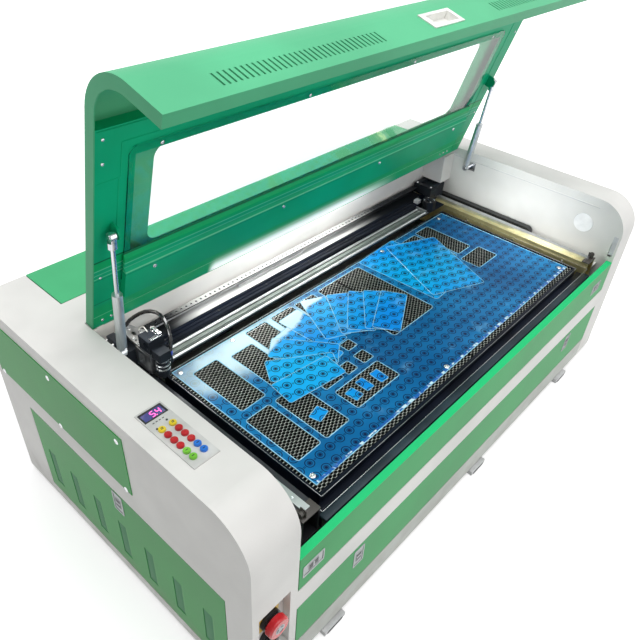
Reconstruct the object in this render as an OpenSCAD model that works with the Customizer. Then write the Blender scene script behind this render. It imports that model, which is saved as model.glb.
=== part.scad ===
// Screen protector cutting machine: a laser cutter with a long hinged lid.
// Millimetres. The origin is on the floor, under the middle of the cabinet.
// X runs along the machine, +Y to its back, +Z up. The lid stands open on its struts.

/* [Cabinet] */
// Overall length, left to right
body_l = 1400; // [1170:10:1680]
// Overall depth, front to back
body_d = 754; // [650:2:900]
// Height of the cabinet above its feet
body_h = 483; // [460:1:560]
// Width of the left end cabinet, which carries the keypad
left_w = 100; // [88:1:130]
// Width of the right end cabinet
right_w = 81; // [66:1:110]
// Radius of the rolled top front corner
roll_r = 84; // [60:1:100]
// Thickness of the sheet metal
sheet_t = 2; // [1.5:0.1:2.6]
// Height of the feet
foot_h = 15; // [10:1:30]
// Depth of the rear compartment that holds the laser tube
rear_d = 159; // [130:1:190]

/* [Front panels] */
// Height of the base skirt under the lower door
skirt_h = 62; // [40:1:90]
// Height of the lower door
door_h = 121; // [100:1:150]
// Height of the white band between door and flap
band_h = 54; // [40:1:70]
// Height of the front flap
flap_h = 90; // [70:1:100]
// Depth of the flap's top rail
flap_d = 15; // [12:1:25]

/* [Side panels] */
// Height of the louvred side door
side_door_h = 238; // [200:1:250]
// Length of the louvred side door
side_door_l = 586; // [480:1:600]
// Height of the bolted side panel
side_panel_h = 138; // [100:1:145]
// Length of the bolted side panel
side_panel_l = 443; // [350:1:460]
// Number of louvres in the side door
louvre_n = 7; // [4:1:7]
// Length of one louvre
louvre_l = 102; // [60:1:150]
// Width of one louvre
louvre_w = 29; // [15:1:40]

/* [Lid] */
// Angle at which the lid stands open
lid_open = 73.4; // [60:0.1:80]
// Thickness of the lid from skin to lining
lid_t = 20; // [16:1:24]
// Height of the lid's front lip
lip_h = 152; // [120:1:160]
// Width of the window pane
pane_w = 1082; // [800:1:1100]
// Length of the window pane, from the hinge side to the front
pane_l = 275; // [200:1:290]
// Thickness of the window pane
pane_t = 3; // [2:0.5:5]
// Number of vent slots in each of the two fields
vent_n = 34; // [10:1:40]
// Width of the pull handle
handle_w = 92; // [60:1:120]
// Height of the pull handle
handle_h = 42; // [30:1:60]

/* [Struts] */
// Diameter of a gas strut's tube
strut_d = 18; // [14:0.5:20]
// Diameter of a gas strut's rod
rod_d = 8; // [6:0.5:10]
// Length of the tube from its pivot to its gland
tube_l = 138; // [120:1:150]

/* [Bed] */
// Length of the bed frame
bed_l = 1011; // [780:1:1200]
// Depth of the bed frame
bed_d = 423; // [340:1:500]
// Height of the bed frame
bed_h = 45; // [30:1:50]
// Width across one honeycomb cell
cell = 34; // [28:1:48]
// Thickness of the film sheet
film_t = 1; // [0.8:0.1:2]

/* [Gantry] */
// Width of one Y rail
rail_w = 44; // [36:1:50]
// Height of one Y rail
rail_h = 62; // [50:1:70]
// Depth of the gantry beam
beam_d = 65; // [56:1:68]
// Height of the gantry beam
beam_h = 18; // [14:1:22]
// Travel of the gantry along Y
travel_y = 330; // [200:1:340]
// Travel of the head along X
travel_x = 925; // [700:1:930]

/* [Laser tube] */
// Diameter of the laser tube
tube_d = 55; // [40:1:60]
// Length of the laser tube's glass
glass_l = 1000; // [700:1:1100]

/* [Keypad] */
// Length of the keypad plate
pad_l = 144; // [120:1:170]
// Width of the keypad plate
pad_w = 48; // [40:1:60]
// Diameter of a push button
button_d = 12; // [8:0.5:13]
// Travel of a push button
button_travel = 1.5; // [0.5:0.1:2]

/* [Stop button] */
// Diameter of the stop button's head
stop_d = 42; // [30:1:46]
// Width of the recess that holds the stop button
recess_w = 69; // [60:1:76]
// Height of the recess
recess_h = 160; // [140:1:180]
// Depth of the recess
recess_d = 16; // [12:1:22]

/* [Hidden] */
$fn = 48;
eps = 0.05;
// Running clearances: of a pin in its bore, and between a door and its frame
pin_play = 0.06;
door_gap = 1.5;
run_gap = 0.3;

// Cabinet
x_left = -body_l / 2;
x_right = body_l / 2;
y_front = -body_d / 2;
y_back = body_d / 2;
z_base = foot_h;
z_top = foot_h + body_h;
bay_x0 = x_left + left_w;
bay_x1 = x_right - right_w;
bay_cx = (bay_x0 + bay_x1) / 2;
motion_cx = bay_cx + 8;
y_wall = y_back - rear_d;
deck_over = 52;
y_deck = y_wall - deck_over;
cover_d = 131;
y_cover = y_back - cover_d;
shelf_z = z_top - 108;
side_gap = 2;

// Front panels
door_z0 = z_base + skirt_h;
door_z1 = door_z0 + door_h;
flap_z0 = door_z1 + band_h;
flap_z1 = flap_z0 + flap_h;

// Hinge pins of the doors: how far behind and above the panel's outer lower edge
hinge_in = 3.8;
hinge_up = 2;
hinge_gap = norm([hinge_in, hinge_up]) - hinge_up + 0.3;
pin_r = 1.5;
pin_l = 5;
return_d = 12;

// Side panels
side_door_z0 = z_base + 27;
side_door_y0 = y_front + 61;
side_panel_z0 = z_top - side_panel_h - 31;
side_panel_y0 = y_front + 290;
side_panel_t = 1.5;
louvre_pitch = 82;
louvre_in = 7;

// Lid, in its closed pose
lid_x0 = bay_x0 + side_gap;
lid_x1 = bay_x1 - side_gap;
hinge_y = y_deck - 6;
hinge_z = z_top - 5;
lid_y1 = hinge_y - 5;
lid_y0 = y_front;
lid_z1 = z_top;
lid_z0 = z_top - lip_h;
hinge_r = 4.5;
hinge_pin_r = 2.5;
hinge_l = 60;
pane_d0 = 105;
pane_cx = bay_cx - 9.5;
hole_d0 = 150;
hole_d1 = 350;
hole_w = 962;
hole_r = 22;
lining_d1 = 422;
lining_t = 2;
vent_w = 3.5;
vent_l = 28;
vent_pitch = 10;
vent_s0 = 20;
vent_cx = 341;
handle_cx = motion_cx + 3;
handle_s0 = 18;

// Struts, at rest: the lower pivot stands on the cabinet, the upper one on the lid
strut_y0 = y_deck - 72;
strut_z0 = z_top - 40;
lid_eye_d = 232.4;
lid_eye_n = 34;
eye_closed = [lid_y1 - lid_eye_d, lid_z1 - lid_eye_n];
eye_rel = eye_closed - [hinge_y, hinge_z];
eye_open = [hinge_y + eye_rel[0] * cos(lid_open) + eye_rel[1] * sin(lid_open),
            hinge_z - eye_rel[0] * sin(lid_open) + eye_rel[1] * cos(lid_open)];
strut_l = norm(eye_open - [strut_y0, strut_z0]);
strut_a = atan2(strut_y0 - eye_open[0], eye_open[1] - strut_z0);
strut_x = 25;
eye_r = 8;
eye_w = 10;
ball_r = 4;

// Rails and bed
rail_x = bed_l / 2 + 22;
rail_z1 = z_top - 148;
rail_z0 = rail_z1 - rail_h;
rail_y0 = y_front + 39;
guide_w = 15;
guide_h = 8;
bed_z0 = rail_z0 + 6;
bed_z1 = bed_z0 + bed_h;
bed_y0 = y_front + 59;
bed_wall = 6;
film_z = bed_z1;
film_x0 = motion_cx - 492.5;
film_x1 = motion_cx + 490.5;
film_y0 = bed_y0 + 20;
film_y1 = bed_y0 + bed_d - 8;

// Gantry, parked at the back
beam_y1 = y_wall - 40;
beam_y0 = beam_y1 - beam_d;
guide_y1 = beam_y0 + 37;
beam_z0 = rail_z1 - 1;
beam_z1 = beam_z0 + beam_h;
beam_x = rail_x - 3;
guide_z1 = beam_z0 + 9;
guide_x0 = motion_cx - beam_x;
guide_x1 = motion_cx + 428;
tray_y1 = y_wall - 7;
tray_x0 = motion_cx - 499.5;
tray_x1 = motion_cx + 499.5;
end_y0 = guide_y1 + 1;
end_z1 = beam_z1 + 28;
flange_z1 = beam_z1 + 19;
end_in = 27;
// Head, parked at the left end of its guide
head_x = motion_cx - 517.5;
nozzle_y = beam_y0 - 27;
plate_z0 = end_z1 + 9;

// Keypad
pad_x = x_left + 51;
pad_y0 = y_front + 144;
pad_t = 2;
button_r = button_d / 2;
button_row0 = 52.5;
button_rows = 6;
button_pitch = 14.6;
button_cols = [-11, 9];

// Stop button
recess_x0 = x_left + 14;
recess_z1 = z_base + 263;
stop_x = recess_x0 + recess_w / 2;
stop_z = recess_z1 - 55;
key_z = stop_z - 50;
duct_l = 12;

BUTTON_NAMES = ["button_yellow_left", "button_yellow_right",
    "button_red_1", "button_red_2", "button_red_3", "button_red_4",
    "button_red_5", "button_red_6", "button_green_1", "button_blue_1",
    "button_green_2", "button_blue_2"];

// ---------------------------------------------------------------- helpers

// A box between two corners, given as ranges along X, Y and Z
module span(x, y, z)
    translate([x[0], y[0], z[0]]) cube([x[1] - x[0], y[1] - y[0], z[1] - z[0]]);

// Extrudes a (y, z) outline along X
module along_x(x0, x1)
    translate([x0, 0, 0]) rotate([90, 0, 90]) linear_extrude(x1 - x0) children();

// Extrudes an (x, z) outline along Y
module along_y(y0, y1)
    translate([0, y1, 0]) rotate([90, 0, 0]) linear_extrude(y1 - y0) children();

// A cylinder along X, and one along Y
module rod_x(x0, x1, y, z, r)
    translate([x0, y, z]) rotate([0, 90, 0]) cylinder(r = r, h = x1 - x0);
module rod_y(y0, y1, x, z, r)
    translate([x, y1, z]) rotate([90, 0, 0]) cylinder(r = r, h = y1 - y0);

// A rectangle between two corners, in the plane of an outline
module rect(a, b)
    translate(a) square(b - a);

// A rectangle with round corners
module round_rect(a, b, r) {
    rect([a[0] + r, a[1]], [b[0] - r, b[1]]);
    rect([a[0], a[1] + r], [b[0], b[1] - r]);
    for (x = [a[0] + r, b[0] - r], y = [a[1] + r, b[1] - r])
        translate([x, y]) circle(r);
}

// Side outline of the cabinet and the lid: square but for the rolled front top corner
module rolled(y0, y1, z0, z1, r) {
    rect([y0 + r, z0], [y1, z1]);
    rect([y0, z0], [y1, z1 - r]);
    intersection() {
        translate([y0 + r, z1 - r]) circle(r, $fn = 96);
        rect([y0, max(z0, z1 - 2 * r)], [y0 + r, z1]);
    }
}

// ---------------------------------------------------------------- cabinet

// Hollow end cabinet of folded sheet, closed on all sides
module cabinet_shell(x0, x1)
    difference() {
        along_x(x0, x1)
            rolled(y_front, y_back, z_base, z_top, roll_r);
        along_x(x0 + sheet_t, x1 - sheet_t)
            rolled(y_front + sheet_t, y_back - sheet_t, z_base + sheet_t,
                   z_top - sheet_t, roll_r - sheet_t);
    }

// Holes in a bay wall for the end pins of the flap, the lower door and the rear cover
module bay_pin_holes(x0, x1)
    for (p = [[y_front + hinge_in, flap_z0 + hinge_gap + hinge_up],
              [y_front + hinge_in, door_z0 + hinge_gap + hinge_up],
              [y_back - hinge_in, z_top - hinge_up - sheet_t]])
        rod_x(x0, x1, p[0], p[1], pin_r + pin_play);

module left_cabinet()
    color("whitesmoke")
    difference() {
        union() {
            cabinet_shell(x_left, bay_x0);
            // Recess for the stop button, with its own walls
            span([recess_x0 - sheet_t, recess_x0 + recess_w + sheet_t],
                 [y_front, y_front + recess_d + sheet_t],
                 [recess_z1 - recess_h - sheet_t, recess_z1 + sheet_t]);
            // Jambs at both ends of the side door's opening
            for (y = [side_door_y0 - sheet_t, side_door_y0 + side_door_l])
                span([x_left + eps, x_left + 16], [y, y + sheet_t],
                     [side_door_z0 - 1, side_door_z0 + side_door_h + 1]);
        }
        span([recess_x0, recess_x0 + recess_w], [y_front - 1, y_front + recess_d],
             [recess_z1 - recess_h, recess_z1]);
        // Mounting holes of the stop button and the switch in the recess's back
        for (z = [stop_z, key_z])
            rod_y(y_front + recess_d - 1, y_front + recess_d + sheet_t + 1, stop_x, z, 11);
        // Opening of the side door
        span([x_left - 1, x_left + sheet_t + eps],
             [side_door_y0, side_door_y0 + side_door_l],
             [side_door_z0, side_door_z0 + side_door_h]);
        side_pin_holes();
        // Opening behind the bolted side panel
        span([x_left - 1, x_left + sheet_t + eps],
             [side_panel_y0 + 14, side_panel_y0 + side_panel_l - 14],
             [side_panel_z0 + 14, side_panel_z0 + side_panel_h - 14]);
        // Cut-out under the keypad
        span([pad_x - pad_w / 2 + 3, pad_x + pad_w / 2 - 3],
             [pad_y0 + 3, pad_y0 + pad_l - 3], [z_top - sheet_t - 1, z_top + 1]);
        bay_pin_holes(bay_x0 - sheet_t - 1, bay_x0 + 1);
    }

module side_pin_holes()
    for (y = [side_door_y0 - sheet_t - 1, side_door_y0 + side_door_l - 1])
        rod_y(y, y + sheet_t + 2, x_left + hinge_in,
              side_door_z0 + hinge_gap + hinge_up, pin_r + pin_play);

module right_cabinet()
    color("whitesmoke")
    difference() {
        union() {
            cabinet_shell(bay_x1, x_right);
            // Housing of the last mirror's beam path, in the corner behind the strut
            difference() {
                span([bay_x1 - 52, bay_x1], [y_wall - 66, y_wall], [shelf_z + 8, z_top - 20]);
                span([bay_x1 - 52 + sheet_t, bay_x1 + 1],
                     [y_wall - 66 + sheet_t, y_wall + 1],
                     [shelf_z + 8 + sheet_t, z_top - 20 - sheet_t]);
            }
            // Round plug low on the inner wall, near the front
            rod_x(bay_x1 - 1.5, bay_x1 + eps, y_front + 107, z_top - 78, 26);
        }
        // Opening behind the bolted side panel
        span([x_right - sheet_t - eps, x_right + 1],
             [side_panel_y0 + 14, side_panel_y0 + side_panel_l - 14],
             [side_panel_z0 + 14, side_panel_z0 + side_panel_h - 14]);
        // Slot for the lid's striker at the front of the inner wall
        span([bay_x1 - 1, bay_x1 + sheet_t + 1], [y_front + 9, y_front + 19],
             [flap_z1 + 12, flap_z1 + 52]);
        bay_pin_holes(bay_x1 - 1, bay_x1 + sheet_t + 1);
    }

// Bottom tray of the cabinet, whose front and back edges stand up as the skirt
module base_frame()
    color("gainsboro")
    difference() {
        span([bay_x0, bay_x1], [y_front, y_back], [z_base, door_z0]);
        span([bay_x0 - 1, bay_x1 + 1],
             [y_front + sheet_t, y_back - sheet_t], [z_base + sheet_t, door_z0 + 1]);
        // Return lip along the top of the skirt is cut back for the door's pivot
        span([bay_x0 - 1, bay_x1 + 1], [y_front - 1, y_front + 8], [door_z0 - 0.5, door_z0 + 1]);
    }

module feet()
    color("dimgray")
    for (x = [-493, 43, 502], y = [y_front + 8, y_back - 58]) {
        span([x * body_l / 1400 - 36, x * body_l / 1400 + 36], [y, y + 50], [0, foot_h - 4]);
        span([x * body_l / 1400 - 30, x * body_l / 1400 + 30], [y + 5, y + 45], [foot_h - 4, foot_h]);
    }

// White band between the lower door and the flap, with returned edges
module front_frame()
    color("gainsboro")
    difference() {
        span([bay_x0, bay_x1], [y_front, y_front + 24], [door_z1, flap_z0]);
        span([bay_x0 - 1, bay_x1 + 1], [y_front + sheet_t, y_front + 25],
             [door_z1 + sheet_t, flap_z0 - sheet_t]);
    }

// Rear panel, deck strip and inner wall: one folded housing round the tube compartment
module rear_housing()
    color("whitesmoke") {
        difference() {
            along_x(bay_x0, bay_x1) {
                // Inner wall from the base up to the deck
                rect([y_wall, z_base + sheet_t], [y_wall + sheet_t, z_top]);
                // Deck strip that overhangs the bay, with a lip that carries the hinges
                rect([y_deck, z_top - sheet_t], [y_cover - door_gap, z_top]);
                rect([y_deck, z_top - 18], [y_deck + sheet_t, z_top]);
                // Ledge under the front edge of the rear cover
                rect([y_cover - door_gap - sheet_t, z_top - 14], [y_cover - door_gap, z_top]);
                rect([y_cover - door_gap - sheet_t, z_top - 14], [y_cover + 10, z_top - 14 + sheet_t]);
                // Shelf of the tube compartment
                rect([y_wall, shelf_z], [y_back, shelf_z + sheet_t]);
                // Rear panel
                rect([y_back - sheet_t, door_z0], [y_back, z_top - 20]);
            }
            // Exhaust outlet, air slots and mains inlet in the rear panel
            rod_y(y_back - 10, y_back + 10, bay_cx, 240, 60);
            for (s = [-1, 1], i = [0 : 9])
                span([bay_cx + s * 330 + (i - 4.5) * 16 - 3, bay_cx + s * 330 + (i - 4.5) * 16 + 3],
                     [y_back - 5, y_back + 5], [200, 290]);
            span([bay_x1 - 90, bay_x1 - 62], [y_back - 5, y_back + 5], [120, 140]);
            // Beam port in the inner wall, on the mirror's height
            rod_y(y_wall - 5, y_wall + 5, bay_x0 + 42, shelf_z + 50, 12);
        }
        // Spigot of the exhaust outlet, for a hose
        difference() {
            rod_y(y_back - 14, y_back + duct_l, bay_cx, 240, 62);
            rod_y(y_back - 15, y_back + duct_l + 1, bay_cx, 240, 60);
        }
    }

// Bolted service panels on both ends
module side_panels()
    color("mediumseagreen")
    for (x = [x_left - side_panel_t, x_right])
        span([x, x + side_panel_t], [side_panel_y0, side_panel_y0 + side_panel_l],
             [side_panel_z0, side_panel_z0 + side_panel_h]);

// Folded panel with returns on all four edges, seen from outside; hinged at its foot
module hinged_panel(x0, x1, z0, z1, top_d)
    difference() {
        span([x0, x1], [y_front, y_front + top_d], [z0, z1]);
        span([x0 + sheet_t, x1 - sheet_t], [y_front + sheet_t, y_front + top_d + 1],
             [z0 + sheet_t, z1 - sheet_t]);
    }

// The two end pins of a panel that pivots between the cabinets
module panel_pins(x0, x1, z)
    for (x = [x0 - pin_l, x1 - 1])
        rod_x(x, x + pin_l + 1, y_front + hinge_in, z, pin_r);

latch_l = 45;
latch_w = 24;
latch_play = 0.6;
latch_t = 3;

// Cut-out for a latch whose long side lies along X or stands up, and its pivot lugs
module latch_cut(c, long_x)
    span([c[0] - (long_x ? latch_l : latch_w) / 2, c[0] + (long_x ? latch_l : latch_w) / 2],
         [y_front - 1, y_front + sheet_t + eps],
         [c[1] - (long_x ? latch_w : latch_l) / 2, c[1] + (long_x ? latch_w : latch_l) / 2]);

// A latch paddle with its pivot pin across the middle; it tips about that pin
module latch_paddle(c, long_x) {
    a = (long_x ? latch_l : latch_w) / 2 - latch_play;
    b = (long_x ? latch_w : latch_l) / 2 - latch_play;
    color("silver") {
        span([c[0] - a, c[0] + a], [y_front, y_front + latch_t], [c[1] - b, c[1] + b]);
        if (long_x)
            translate([c[0], y_front + latch_t + 1, c[1] - latch_w / 2 - 2])
                cylinder(r = pin_r, h = latch_w + 4);
        else
            rod_x(c[0] - latch_w / 2 - 2, c[0] + latch_w / 2 + 2,
                  y_front + latch_t + 1, c[1], pin_r);
    }
}

// Lugs behind the panel that hold a paddle's pin
module latch_lugs(c, long_x)
    for (s = [-1, 1])
        difference() {
            if (long_x)
                span([c[0] - 4, c[0] + 4], [y_front + sheet_t - eps, y_front + latch_t + 5],
                     [c[1] + s * (latch_w / 2 + 1.2) - 0.9, c[1] + s * (latch_w / 2 + 1.2) + 0.9]);
            else
                span([c[0] + s * (latch_w / 2 + 1.2) - 0.9, c[0] + s * (latch_w / 2 + 1.2) + 0.9],
                     [y_front + sheet_t - eps, y_front + latch_t + 5], [c[1] - 4, c[1] + 4]);
            if (long_x)
                translate([c[0], y_front + latch_t + 1, c[1] - latch_w])
                    cylinder(r = pin_r + pin_play, h = 2 * latch_w);
            else
                rod_x(c[0] - latch_w, c[0] + latch_w, y_front + latch_t + 1, c[1],
                      pin_r + pin_play);
        }

flap_latch = [for (x = [bay_x0 + 35, bay_x1 - 75]) [x, flap_z1 - 46]];
door_latch = [for (x = [bay_x0 + 168, bay_x1 - 168]) [x, door_z1 - 36]];

module flap_latch_left() latch_paddle(flap_latch[0], true);
module flap_latch_right() latch_paddle(flap_latch[1], true);
module door_latch_left() latch_paddle(door_latch[0], false);
module door_latch_right() latch_paddle(door_latch[1], false);

module front_flap()
    color("mediumseagreen") {
        difference() {
            hinged_panel(bay_x0 + side_gap, bay_x1 - side_gap, flap_z0 + hinge_gap,
                         flap_z1, flap_d);
            for (c = flap_latch) latch_cut(c, true);
        }
        for (c = flap_latch) latch_lugs(c, true);
        panel_pins(bay_x0 + side_gap, bay_x1 - side_gap, flap_z0 + hinge_gap + hinge_up);
    }

module lower_door()
    color("mediumseagreen") {
        difference() {
            hinged_panel(bay_x0 + side_gap, bay_x1 - side_gap, door_z0 + hinge_gap,
                         door_z1 - door_gap, return_d);
            for (c = door_latch) latch_cut(c, false);
        }
        for (c = door_latch) latch_lugs(c, false);
        panel_pins(bay_x0 + side_gap, bay_x1 - side_gap, door_z0 + hinge_gap + hinge_up);
    }

// One pressed louvre: a sloping blade behind an upright slot
module louvre(y, z0)
    translate([0, y, z0]) linear_extrude(louvre_l)
        polygon([[x_left, -0.5], [x_left + sheet_t, -0.5],
                 [x_left + louvre_in, louvre_w - 2], [x_left + louvre_in, louvre_w],
                 [x_left + louvre_in - 1.5, louvre_w], [x_left, 2.2]]);

module left_door() {
    y0 = side_door_y0 + door_gap;
    y1 = side_door_y0 + side_door_l - door_gap;
    z0 = side_door_z0 + hinge_gap;
    z1 = side_door_z0 + side_door_h - door_gap;
    lz = side_door_z0 + 36;
    ly = [for (i = [0 : louvre_n - 1]) y0 + (y1 - y0 - louvre_w) / 2
          + (i - (louvre_n - 1) / 2) * louvre_pitch];
    color("mediumseagreen") {
        difference() {
            span([x_left, x_left + return_d], [y0, y1], [z0, z1]);
            span([x_left + sheet_t, x_left + return_d + 1], [y0 + sheet_t, y1 - sheet_t],
                 [z0 + sheet_t, z1 - sheet_t]);
            for (y = ly)
                span([x_left - 1, x_left + sheet_t + 1], [y, y + louvre_w], [lz, lz + louvre_l]);
            side_latch_cut();
        }
        for (y = ly) {
            louvre(y, lz);
            // End cheeks close the louvre above and below
            for (z = [lz - 1.5, lz + louvre_l])
                span([x_left, x_left + louvre_in], [y, y + louvre_w], [z, z + 1.5]);
        }
        side_latch_lugs();
        for (y = [y0 - pin_l + 1.5, y1 - 1])
            rod_y(y, y + pin_l - 0.5, x_left + hinge_in, z0 + hinge_up, pin_r);
    }
}

side_latch_y = side_door_y0 + side_door_l / 2 - 4;
side_latch_z = side_door_z0 + side_door_h - 30;

module side_latch_cut()
    span([x_left - 1, x_left + sheet_t + eps],
         [side_latch_y - latch_w / 2, side_latch_y + latch_w / 2],
         [side_latch_z - latch_l / 2, side_latch_z + latch_l / 2]);

module side_latch_lugs()
    for (s = [-1, 1])
        difference() {
            span([x_left + sheet_t - eps, x_left + latch_t + 5],
                 [side_latch_y + s * (latch_w / 2 + 1.2) - 0.9,
                  side_latch_y + s * (latch_w / 2 + 1.2) + 0.9],
                 [side_latch_z - 4, side_latch_z + 4]);
            rod_y(side_latch_y - latch_w, side_latch_y + latch_w,
                  x_left + latch_t + 1, side_latch_z, pin_r + pin_play);
        }

module side_latch()
    color("silver") {
        span([x_left, x_left + latch_t],
             [side_latch_y - latch_w / 2 + latch_play, side_latch_y + latch_w / 2 - latch_play],
             [side_latch_z - latch_l / 2 + latch_play, side_latch_z + latch_l / 2 - latch_play]);
        rod_y(side_latch_y - latch_w / 2 - 2, side_latch_y + latch_w / 2 + 2,
              x_left + latch_t + 1, side_latch_z, pin_r);
    }

// Lift-up cover over the laser tube, pivoted on end pins along its rear edge
module rear_cover()
    color("mediumseagreen") {
        difference() {
            span([bay_x0 + side_gap, bay_x1 - side_gap], [y_cover, y_back], [z_top - 12, z_top]);
            span([bay_x0 + side_gap + sheet_t, bay_x1 - side_gap - sheet_t],
                 [y_cover + sheet_t, y_back - sheet_t], [z_top - 13, z_top - sheet_t]);
        }
        for (x = [bay_x0 + side_gap - pin_l, bay_x1 - side_gap - 1])
            rod_x(x, x + pin_l + 1, y_back - hinge_in, z_top - hinge_up - sheet_t, pin_r);
    }

// ---------------------------------------------------------------- lid

// Turns what is drawn for the closed lid to the pose in which it stands open
module lid_pose()
    translate([0, hinge_y, hinge_z]) rotate([-lid_open, 0, 0])
        translate([0, -hinge_y, -hinge_z]) children();

// Folded outline of the lid: flat top, rolled corner and front lip
module lid_outline(inset)
    rolled(lid_y0 + inset, lid_y1 - inset, lid_z0 + inset, lid_z1 - inset, roll_r - inset);

hinge_x = [bay_x0 + 40, bay_x1 - 89];

module lid_shell()
    color("mediumaquamarine")
    lid_pose() {
        difference() {
            // Outer skin and the J-shaped flanges at its ends
            difference() {
                along_x(lid_x0, lid_x1) lid_outline(0);
                along_x(lid_x0 + sheet_t, lid_x1 - sheet_t) lid_outline(sheet_t);
                along_x(lid_x0 - 1, lid_x1 + 1)
                    rolled(lid_y0 + lid_t, lid_y1 + 1, lid_z0 - 1, lid_z1 - lid_t, roll_r - lid_t);
            }
            // Window
            translate([0, 0, lid_z1 - sheet_t - 1]) linear_extrude(sheet_t + 2)
                round_rect([pane_cx - hole_w / 2, lid_y1 - hole_d1],
                           [pane_cx + hole_w / 2, lid_y1 - hole_d0], hole_r);
            // Two fields of vent slots in the front lip
            for (s = [-1, 1], i = [0 : vent_n - 1])
                span([motion_cx + s * vent_cx + (i - (vent_n - 1) / 2) * vent_pitch - vent_w / 2,
                      motion_cx + s * vent_cx + (i - (vent_n - 1) / 2) * vent_pitch + vent_w / 2],
                     [lid_y0 - 1, lid_y0 + sheet_t + 1],
                     [lid_z0 + vent_s0, lid_z0 + vent_s0 + vent_l]);
            // Seat of the pull handle
            span([handle_cx - handle_w / 2 + 6, handle_cx + handle_w / 2 - 6],
                 [lid_y0 - 1, lid_y0 + sheet_t + 1],
                 [lid_z0 + handle_s0 + 4, lid_z0 + handle_s0 + handle_h - 4]);
        }
        // Hinge leaves with their middle knuckles
        for (x = hinge_x)
            difference() {
                union() {
                    rod_x(x - 14, x + 14, hinge_y, hinge_z, hinge_r);
                    span([x - 14, x + 14], [lid_y1 - eps, lid_y1 + 3],
                         [lid_z1 - lid_t + 1, hinge_z + 2]);
                }
                rod_x(x - 15, x + 15, hinge_y, hinge_z, hinge_pin_r + pin_play);
            }
    }

// Inner lining with the window opening, the pane's lower bar and the strut brackets
module lid_lining()
    color("seagreen")
    lid_pose() {
        x0 = lid_x0 + sheet_t + run_gap;
        x1 = lid_x1 - sheet_t - run_gap;
        y1 = lid_y1 - sheet_t - run_gap;
        yf = lid_y1 - lining_d1;
        z = lid_z1 - lid_t;
        difference() {
            union() {
                span([x0, x1], [yf, y1], [z, z + lining_t]);
                span([x0, x1], [yf, yf + lining_t], [z, lid_z1 - sheet_t]);
            }
            span([pane_cx - pane_w / 2 + 12, pane_cx + pane_w / 2 - 12],
                 [lid_y1 - pane_d0 - pane_l + 16, lid_y1 - pane_d0 - 12], [z - 1, z + lining_t + 1]);
        }
        // Stepped hollow bar that clamps the pane's lower edge
        difference() {
            along_x(pane_cx - pane_w / 2 - 2, pane_cx + pane_w / 2 + 2)
                polygon([for (p = [[58, 0], [66, 13], [128, 13], [136, 8], [158, 8],
                               [170, pane_t + run_gap], [pane_d0 - 1, pane_t + run_gap],
                               [pane_d0 - 1, 0]])
                     [lid_y1 - p[0], z - p[1]]]);
            along_x(pane_cx - pane_w / 2, pane_cx + pane_w / 2) {
                rect([lid_y1 - pane_d0 + 3, z - 11], [lid_y1 - 68, z - 1]);
                rect([lid_y1 - 126, z - 11], [lid_y1 - 68, z - pane_t - run_gap - 2]);
            }
        }
        // Brackets that carry the struts' upper pivots
        for (s = [0, 1]) {
            xe = s ? bay_x1 - strut_x : bay_x0 + strut_x;
            dir = s ? -1 : 1;
            xb = xe + dir * (eye_w / 2 + 3);
            span([min(xb, xb + dir * 3), max(xb, xb + dir * 3)],
                 [eye_closed[0] - 14, eye_closed[0] + 14], [eye_closed[1] - 2, z + eps]);
            rod_x(min(xb, xb + dir * 3), max(xb, xb + dir * 3),
                  eye_closed[0], eye_closed[1], 9);
        }
    }

module lid_window()
    color("lightcyan", 0.4)
    lid_pose()
        translate([0, 0, lid_z1 - lid_t - pane_t]) linear_extrude(pane_t)
            round_rect([pane_cx - pane_w / 2, lid_y1 - pane_d0 - pane_l],
                       [pane_cx + pane_w / 2, lid_y1 - pane_d0], 15);

// Flush pull handle: a bezel and a cup that slopes in from one side
module lid_handle()
    color("white")
    lid_pose() {
        x0 = handle_cx - handle_w / 2;
        x1 = handle_cx + handle_w / 2;
        z0 = lid_z0 + handle_s0;
        z1 = z0 + handle_h;
        difference() {
            union() {
                span([x0, x1], [lid_y0 - 2, lid_y0], [z0, z1]);
                span([x0 + 6.3, x1 - 6.3], [lid_y0 - 1, lid_y0 + 14], [z0 + 4.3, z1 - 4.3]);
            }
            translate([0, 0, z0 + 7]) linear_extrude(handle_h - 14)
                polygon([[x0 + 10, lid_y0 - 3], [x1 - 9, lid_y0 - 3], [x1 - 9, lid_y0 + 12],
                         [x0 + 42, lid_y0 + 12], [x0 + 24, lid_y0 + 2]]);
        }
    }

// Fixed hinge leaves with their pins, and the studs under the struts
module lid_fixings()
    color("silver") {
        for (x = hinge_x) {
            for (s = [-1, 1])
                rod_x(x + s * 22 - 7.7, x + s * 22 + 7.7, hinge_y, hinge_z, hinge_r);
            span([x - hinge_l / 2, x + hinge_l / 2], [y_deck - 3, y_deck],
                 [z_top - 17, hinge_z - 4.8]);
            for (s = [-1, 1])
                span([x + s * 22 - 7.7, x + s * 22 + 7.7], [y_deck - 6, y_deck],
                     [hinge_z - 6, hinge_z + 3]);
            rod_x(x - hinge_l / 2, x + hinge_l / 2, hinge_y, hinge_z, hinge_pin_r);
        }
        for (s = [0, 1]) {
            xw = s ? bay_x1 : bay_x0;
            dir = s ? -1 : 1;
            x_tip = xw + dir * (strut_x + eye_w / 2 + 3);
            rod_x(min(xw, x_tip), max(xw, x_tip), strut_y0, strut_z0, ball_r);
            rod_x(min(xw, xw + dir * (strut_x - eye_w / 2 - 1)),
                  max(xw, xw + dir * (strut_x - eye_w / 2 - 1)), strut_y0, strut_z0, 7);
            span([min(xw, xw + dir * 2), max(xw, xw + dir * 2)],
                 [strut_y0 - 18, strut_y0 + 18], [strut_z0 - 12, strut_z0 + 12]);
        }
    }

// Places a strut that is drawn upright from its lower pivot
module strut_pose(x)
    translate([x, strut_y0, strut_z0]) rotate([strut_a, 0, 0]) children();

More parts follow.
